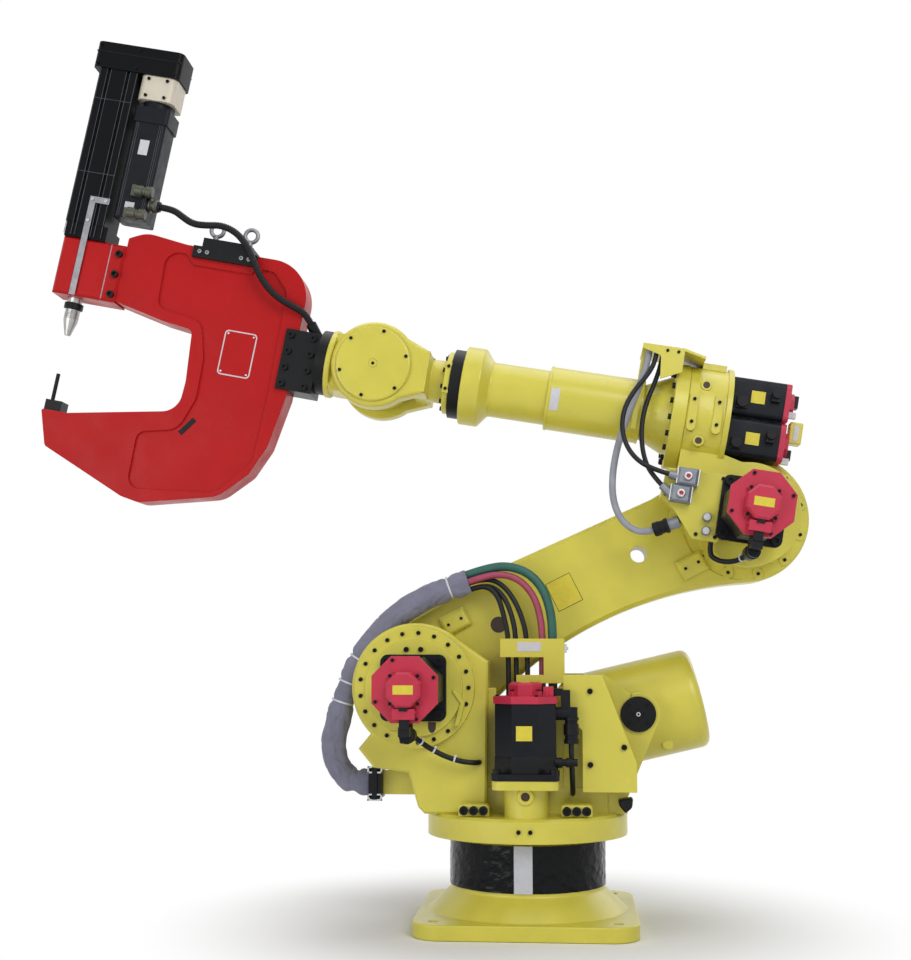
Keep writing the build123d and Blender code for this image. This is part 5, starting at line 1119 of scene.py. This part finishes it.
class ROBOT_OT_sleeve(bpy.types.Operator):
    """Sew the wrinkled sleeve round the hose bundle, drawn in at its ties"""

    bl_idname = "robot.sleeve"
    bl_label = "Hose sleeve"

    def execute(self, context):
        points = line_points(SLEEVE_ROUTE, WORLD)
        clamp = 0.05
        ties = (clamp, *SLEEVE_TIES)
        total = 829 * MM
        mean_radius = 34 * MM

        def near_ties(share, reach):
            """How near a share of the length is to a tie, from 0 to 1."""
            return min(1.0, sum(math.exp(-((share - tie) / reach) ** 2) for tie in ties))

        def wrapped(run, angle, girth, stretch):
            """A place in the noise that closes round the sleeve and runs on along it."""
            return Vector((math.cos(angle) * girth, math.sin(angle) * girth, run * stretch))

        def radius_at(run, angle):
            """Broad folds, creases that gather at the ties, and sharp lines that wind round the sleeve."""
            share = run / total
            pinch = near_ties(share, 0.012)
            around = wrapped(run, angle, 1, 9)
            folds = 0.15 * noise.noise(around * 1.5) + 0.05 * noise.noise(around * 4.1)
            folds += (0.02 + 0.06 * near_ties(share, 0.05)) * noise.noise(wrapped(run, angle, 1.6, 42))
            line = noise.noise(wrapped(run, angle + run * 6, 1, 15) * 1.3)
            folds -= 0.10 * max(0.0, 1 - abs(line) / 0.12)
            flat = 0.05 * math.cos(2 * angle - 1.2)
            return mean_radius * (1 + (folds + flat) * (1 - pinch) - 0.13 * pinch)

        tube = tube_mesh("hose_sleeve_cloth", points, radius_at, sides=56, step=0.004)
        piece = stand("hose_sleeve_cloth", tube, "turret", "sleeve")
        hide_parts("hose_sleeve")
        return {"FINISHED"}


class ROBOT_OT_conduit(bpy.types.Operator):
    """Run the corrugated conduit from the drive motor's plug to the tool's adapter"""

    bl_idname = "robot.conduit"
    bl_label = "Corrugated conduit"

    def execute(self, context):
        points = line_points(CONDUIT_ROUTE, TOOL)
        radius, depth, pitch = 10.2, 0.8, 6.4 * MM

        def radius_at(run, _angle):
            """Even ribs along the conduit."""
            return (radius + depth * math.cos(2 * math.pi * run / pitch)) * MM

        tube = tube_mesh("tool_conduit_corrugated", points, radius_at, sides=16, step=0.0016)
        piece = stand("tool_conduit_corrugated", tube, "tool", "black_nylon_and_hole_shade")
        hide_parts("tool_conduit")
        return {"FINISHED"}


class ROBOT_OT_film(bpy.types.Operator):
    """Wrap crinkled film round the base column"""

    bl_idname = "robot.film"
    bl_label = "Base film"

    def execute(self, context):
        low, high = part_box("base_film_wrap")
        shell = bmesh.new()
        turns, rows = 220, 26
        gap, depth = 0.2, 2.4
        around, upward = 6, 30
        rings = []
        for row in range(rows + 1):
            height = low.z + (high.z - low.z) * row / rows
            ring = []
            for turn in range(turns):
                angle = 2 * math.pi * turn / turns
                grain = Vector((math.cos(angle) * around, math.sin(angle) * around, height * upward))
                crinkle = abs(noise.noise(grain)) + 0.5 * abs(noise.noise(grain * 2.3))
                radius = high.x - (gap + depth * min(1.0, crinkle)) * MM
                ring.append(shell.verts.new((radius * math.cos(angle), radius * math.sin(angle), height)))
            rings.append(ring)
        skin(shell, rings, capped=False)
        piece = stand("base_film_sheet", mesh_from(shell, "base_film_sheet"), "base", "film")
        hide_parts("base_film_wrap")
        return {"FINISHED"}


WHITE = (1, 1, 1, 1)


def background_rays(tree):
    """The kinds of ray, and those by which the camera and reflections see the background."""
    rays = node(tree, "ShaderNodeLightPath").outputs
    seen = node(
        tree, "ShaderNodeMath", {0: rays["Is Camera Ray"], 1: rays["Is Glossy Ray"]}, operation="MAXIMUM")
    return rays, seen.outputs[0]


class ROBOT_OT_stage(bpy.types.Operator):
    """Set the pale floor, the studio light and the camera"""

    bl_idname = "robot.stage"
    bl_label = "Stage"

    def execute(self, context):
        stage = context.scene.press_robot_stage
        self.lay_floor(context)
        self.hang_lamps(context)
        self.light_world(context)
        camera = bpy.data.objects.new("camera", bpy.data.cameras.new("camera"))
        context.scene.collection.objects.link(camera)
        camera.data.lens = stage.lens
        camera.location = stage.camera_place
        ahead = Vector((
            math.sin(stage.yaw) * math.cos(stage.pitch), -math.cos(stage.yaw) * math.cos(stage.pitch),
            math.sin(stage.pitch)))
        camera.rotation_euler = ahead.to_track_quat("-Z", "Y").to_euler()
        context.scene.camera = camera
        context.scene.view_settings.view_transform = "Standard"
        return {"FINISHED"}

    def lay_floor(self, context):
        """A pale floor that fades to the white background away from the robot."""
        shell = bmesh.new()
        bmesh.ops.create_circle(shell, cap_ends=True, segments=96, radius=30.0)
        mesh = mesh_from(shell, "floor")
        floor = bpy.data.objects.new("floor", mesh)
        just_below = -0.5 * MM
        floor.location = (0, 0, just_below)
        context.scene.collection.objects.link(floor)
        made = bpy.data.materials.new("painted_floor_pale")
        made.use_nodes = True
        tree = made.node_tree
        tree.nodes.clear()
        place = node(tree, "ShaderNodeTexCoord").outputs["Object"]
        away = node(tree, "ShaderNodeVectorMath", {0: place}, operation="LENGTH")
        fade = node(tree, "ShaderNodeMapRange", {
            "Value": away.outputs["Value"], "From Min": 0.4, "From Max": 1.15},
            interpolation_type="SMOOTHSTEP")
        _, seen = background_rays(tree)
        mixed = node(tree, "ShaderNodeMath", {0: fade.outputs[0], 1: seen}, operation="MULTIPLY")
        paint = node(tree, "ShaderNodeBsdfDiffuse", {"Color": rgba(linear("F4F4F4"))})
        white = node(tree, "ShaderNodeEmission", {"Color": WHITE, "Strength": 1.0})
        both = node(tree, "ShaderNodeMixShader", {
            0: mixed.outputs[0], 1: paint.outputs[0], 2: white.outputs[0]})
        node(tree, "ShaderNodeOutputMaterial", {"Surface": both.outputs[0]})
        mesh.materials.append(made)

    def hang_lamps(self, context):
        """A broad key from the front and above, a fill from the left, a soft top light and a weak rim."""
        target = Vector((0.3, 0, 1.1))
        # Each lamp's place and width in metres, and its power in watts
        for name, hook, size, power in (
                ("key", (-2.2, 4.6, 4.0), 3.0, 140), ("fill", (3.6, 4.4, 1.2), 3.5, 92),
                ("top", (0.3, -0.4, 5.6), 4.5, 100), ("rim", (-3.5, -3.8, 3.0), 3.0, 40)):
            lamp = bpy.data.lights.new(name, "AREA")
            lamp.size = size
            lamp.energy = power
            hung = bpy.data.objects.new(name, lamp)
            hung.location = hook
            hung.rotation_euler = (target - Vector(hook)).to_track_quat("-Z", "Y").to_euler()
            context.scene.collection.objects.link(hung)

    def light_world(self, context):
        """A dim grey surround that the camera, reflections and clear pieces see as white."""
        world = bpy.data.worlds.new("surround")
        context.scene.world = world
        world.use_nodes = True
        tree = world.node_tree
        tree.nodes.clear()
        rays, seen = background_rays(tree)
        clear = node(tree, "ShaderNodeMath", {0: seen, 1: rays["Is Transmission Ray"]}, operation="MAXIMUM")
        dim = node(tree, "ShaderNodeBackground", {"Color": WHITE, "Strength": 0.22})
        white = node(tree, "ShaderNodeBackground", {"Color": WHITE, "Strength": 1.0})
        both = node(tree, "ShaderNodeMixShader", {
            0: clear.outputs[0], 1: dim.outputs[0], 2: white.outputs[0]})
        node(tree, "ShaderNodeOutputWorld", {"Surface": both.outputs[0]})


STEPS = (
    ROBOT_OT_finishes, ROBOT_OT_castings, ROBOT_OT_motors, ROBOT_OT_press, ROBOT_OT_hoses, ROBOT_OT_sleeve,
    ROBOT_OT_conduit, ROBOT_OT_film, ROBOT_OT_motor_trim, ROBOT_OT_shoulder_trim, ROBOT_OT_elbow_trim,
    ROBOT_OT_tool_trim, ROBOT_OT_screws, ROBOT_OT_ties, ROBOT_OT_stage,
)


class ROBOT_PT_looks(bpy.types.Panel):
    """The steps that dress the robot"""

    bl_idname = "ROBOT_PT_looks"
    bl_label = "Press Robot Looks"
    bl_space_type = "VIEW_3D"
    bl_region_type = "UI"
    bl_category = "Robot"

    def draw(self, context):
        scene = context.scene
        for group in (scene.press_robot_paints, scene.press_robot_sizes, scene.press_robot_stage):
            box = self.layout.box()
            for name in group.__annotations__:
                box.prop(group, name)
        for step in STEPS:
            self.layout.operator(step.bl_idname)


CLASSES = (PressRobotPaints, PressRobotSizes, PressRobotStage, *STEPS, ROBOT_PT_looks)


def register():
    """Register the settings, the steps and the panel."""
    for kind in CLASSES:
        bpy.utils.register_class(kind)
    bpy.types.Scene.press_robot_paints = PointerProperty(type=PressRobotPaints)
    bpy.types.Scene.press_robot_sizes = PointerProperty(type=PressRobotSizes)
    bpy.types.Scene.press_robot_stage = PointerProperty(type=PressRobotStage)


def unregister():
    """Take the settings, the steps and the panel away."""
    del bpy.types.Scene.press_robot_paints
    del bpy.types.Scene.press_robot_sizes
    del bpy.types.Scene.press_robot_stage
    for kind in reversed(CLASSES):
        bpy.utils.unregister_class(kind)


def main():
    """Dress the robot step by step."""
    register()
    for step in STEPS:
        group, name = step.bl_idname.split(".")
        getattr(getattr(bpy.ops, group), name)()


if __name__ == "__main__":
    main()
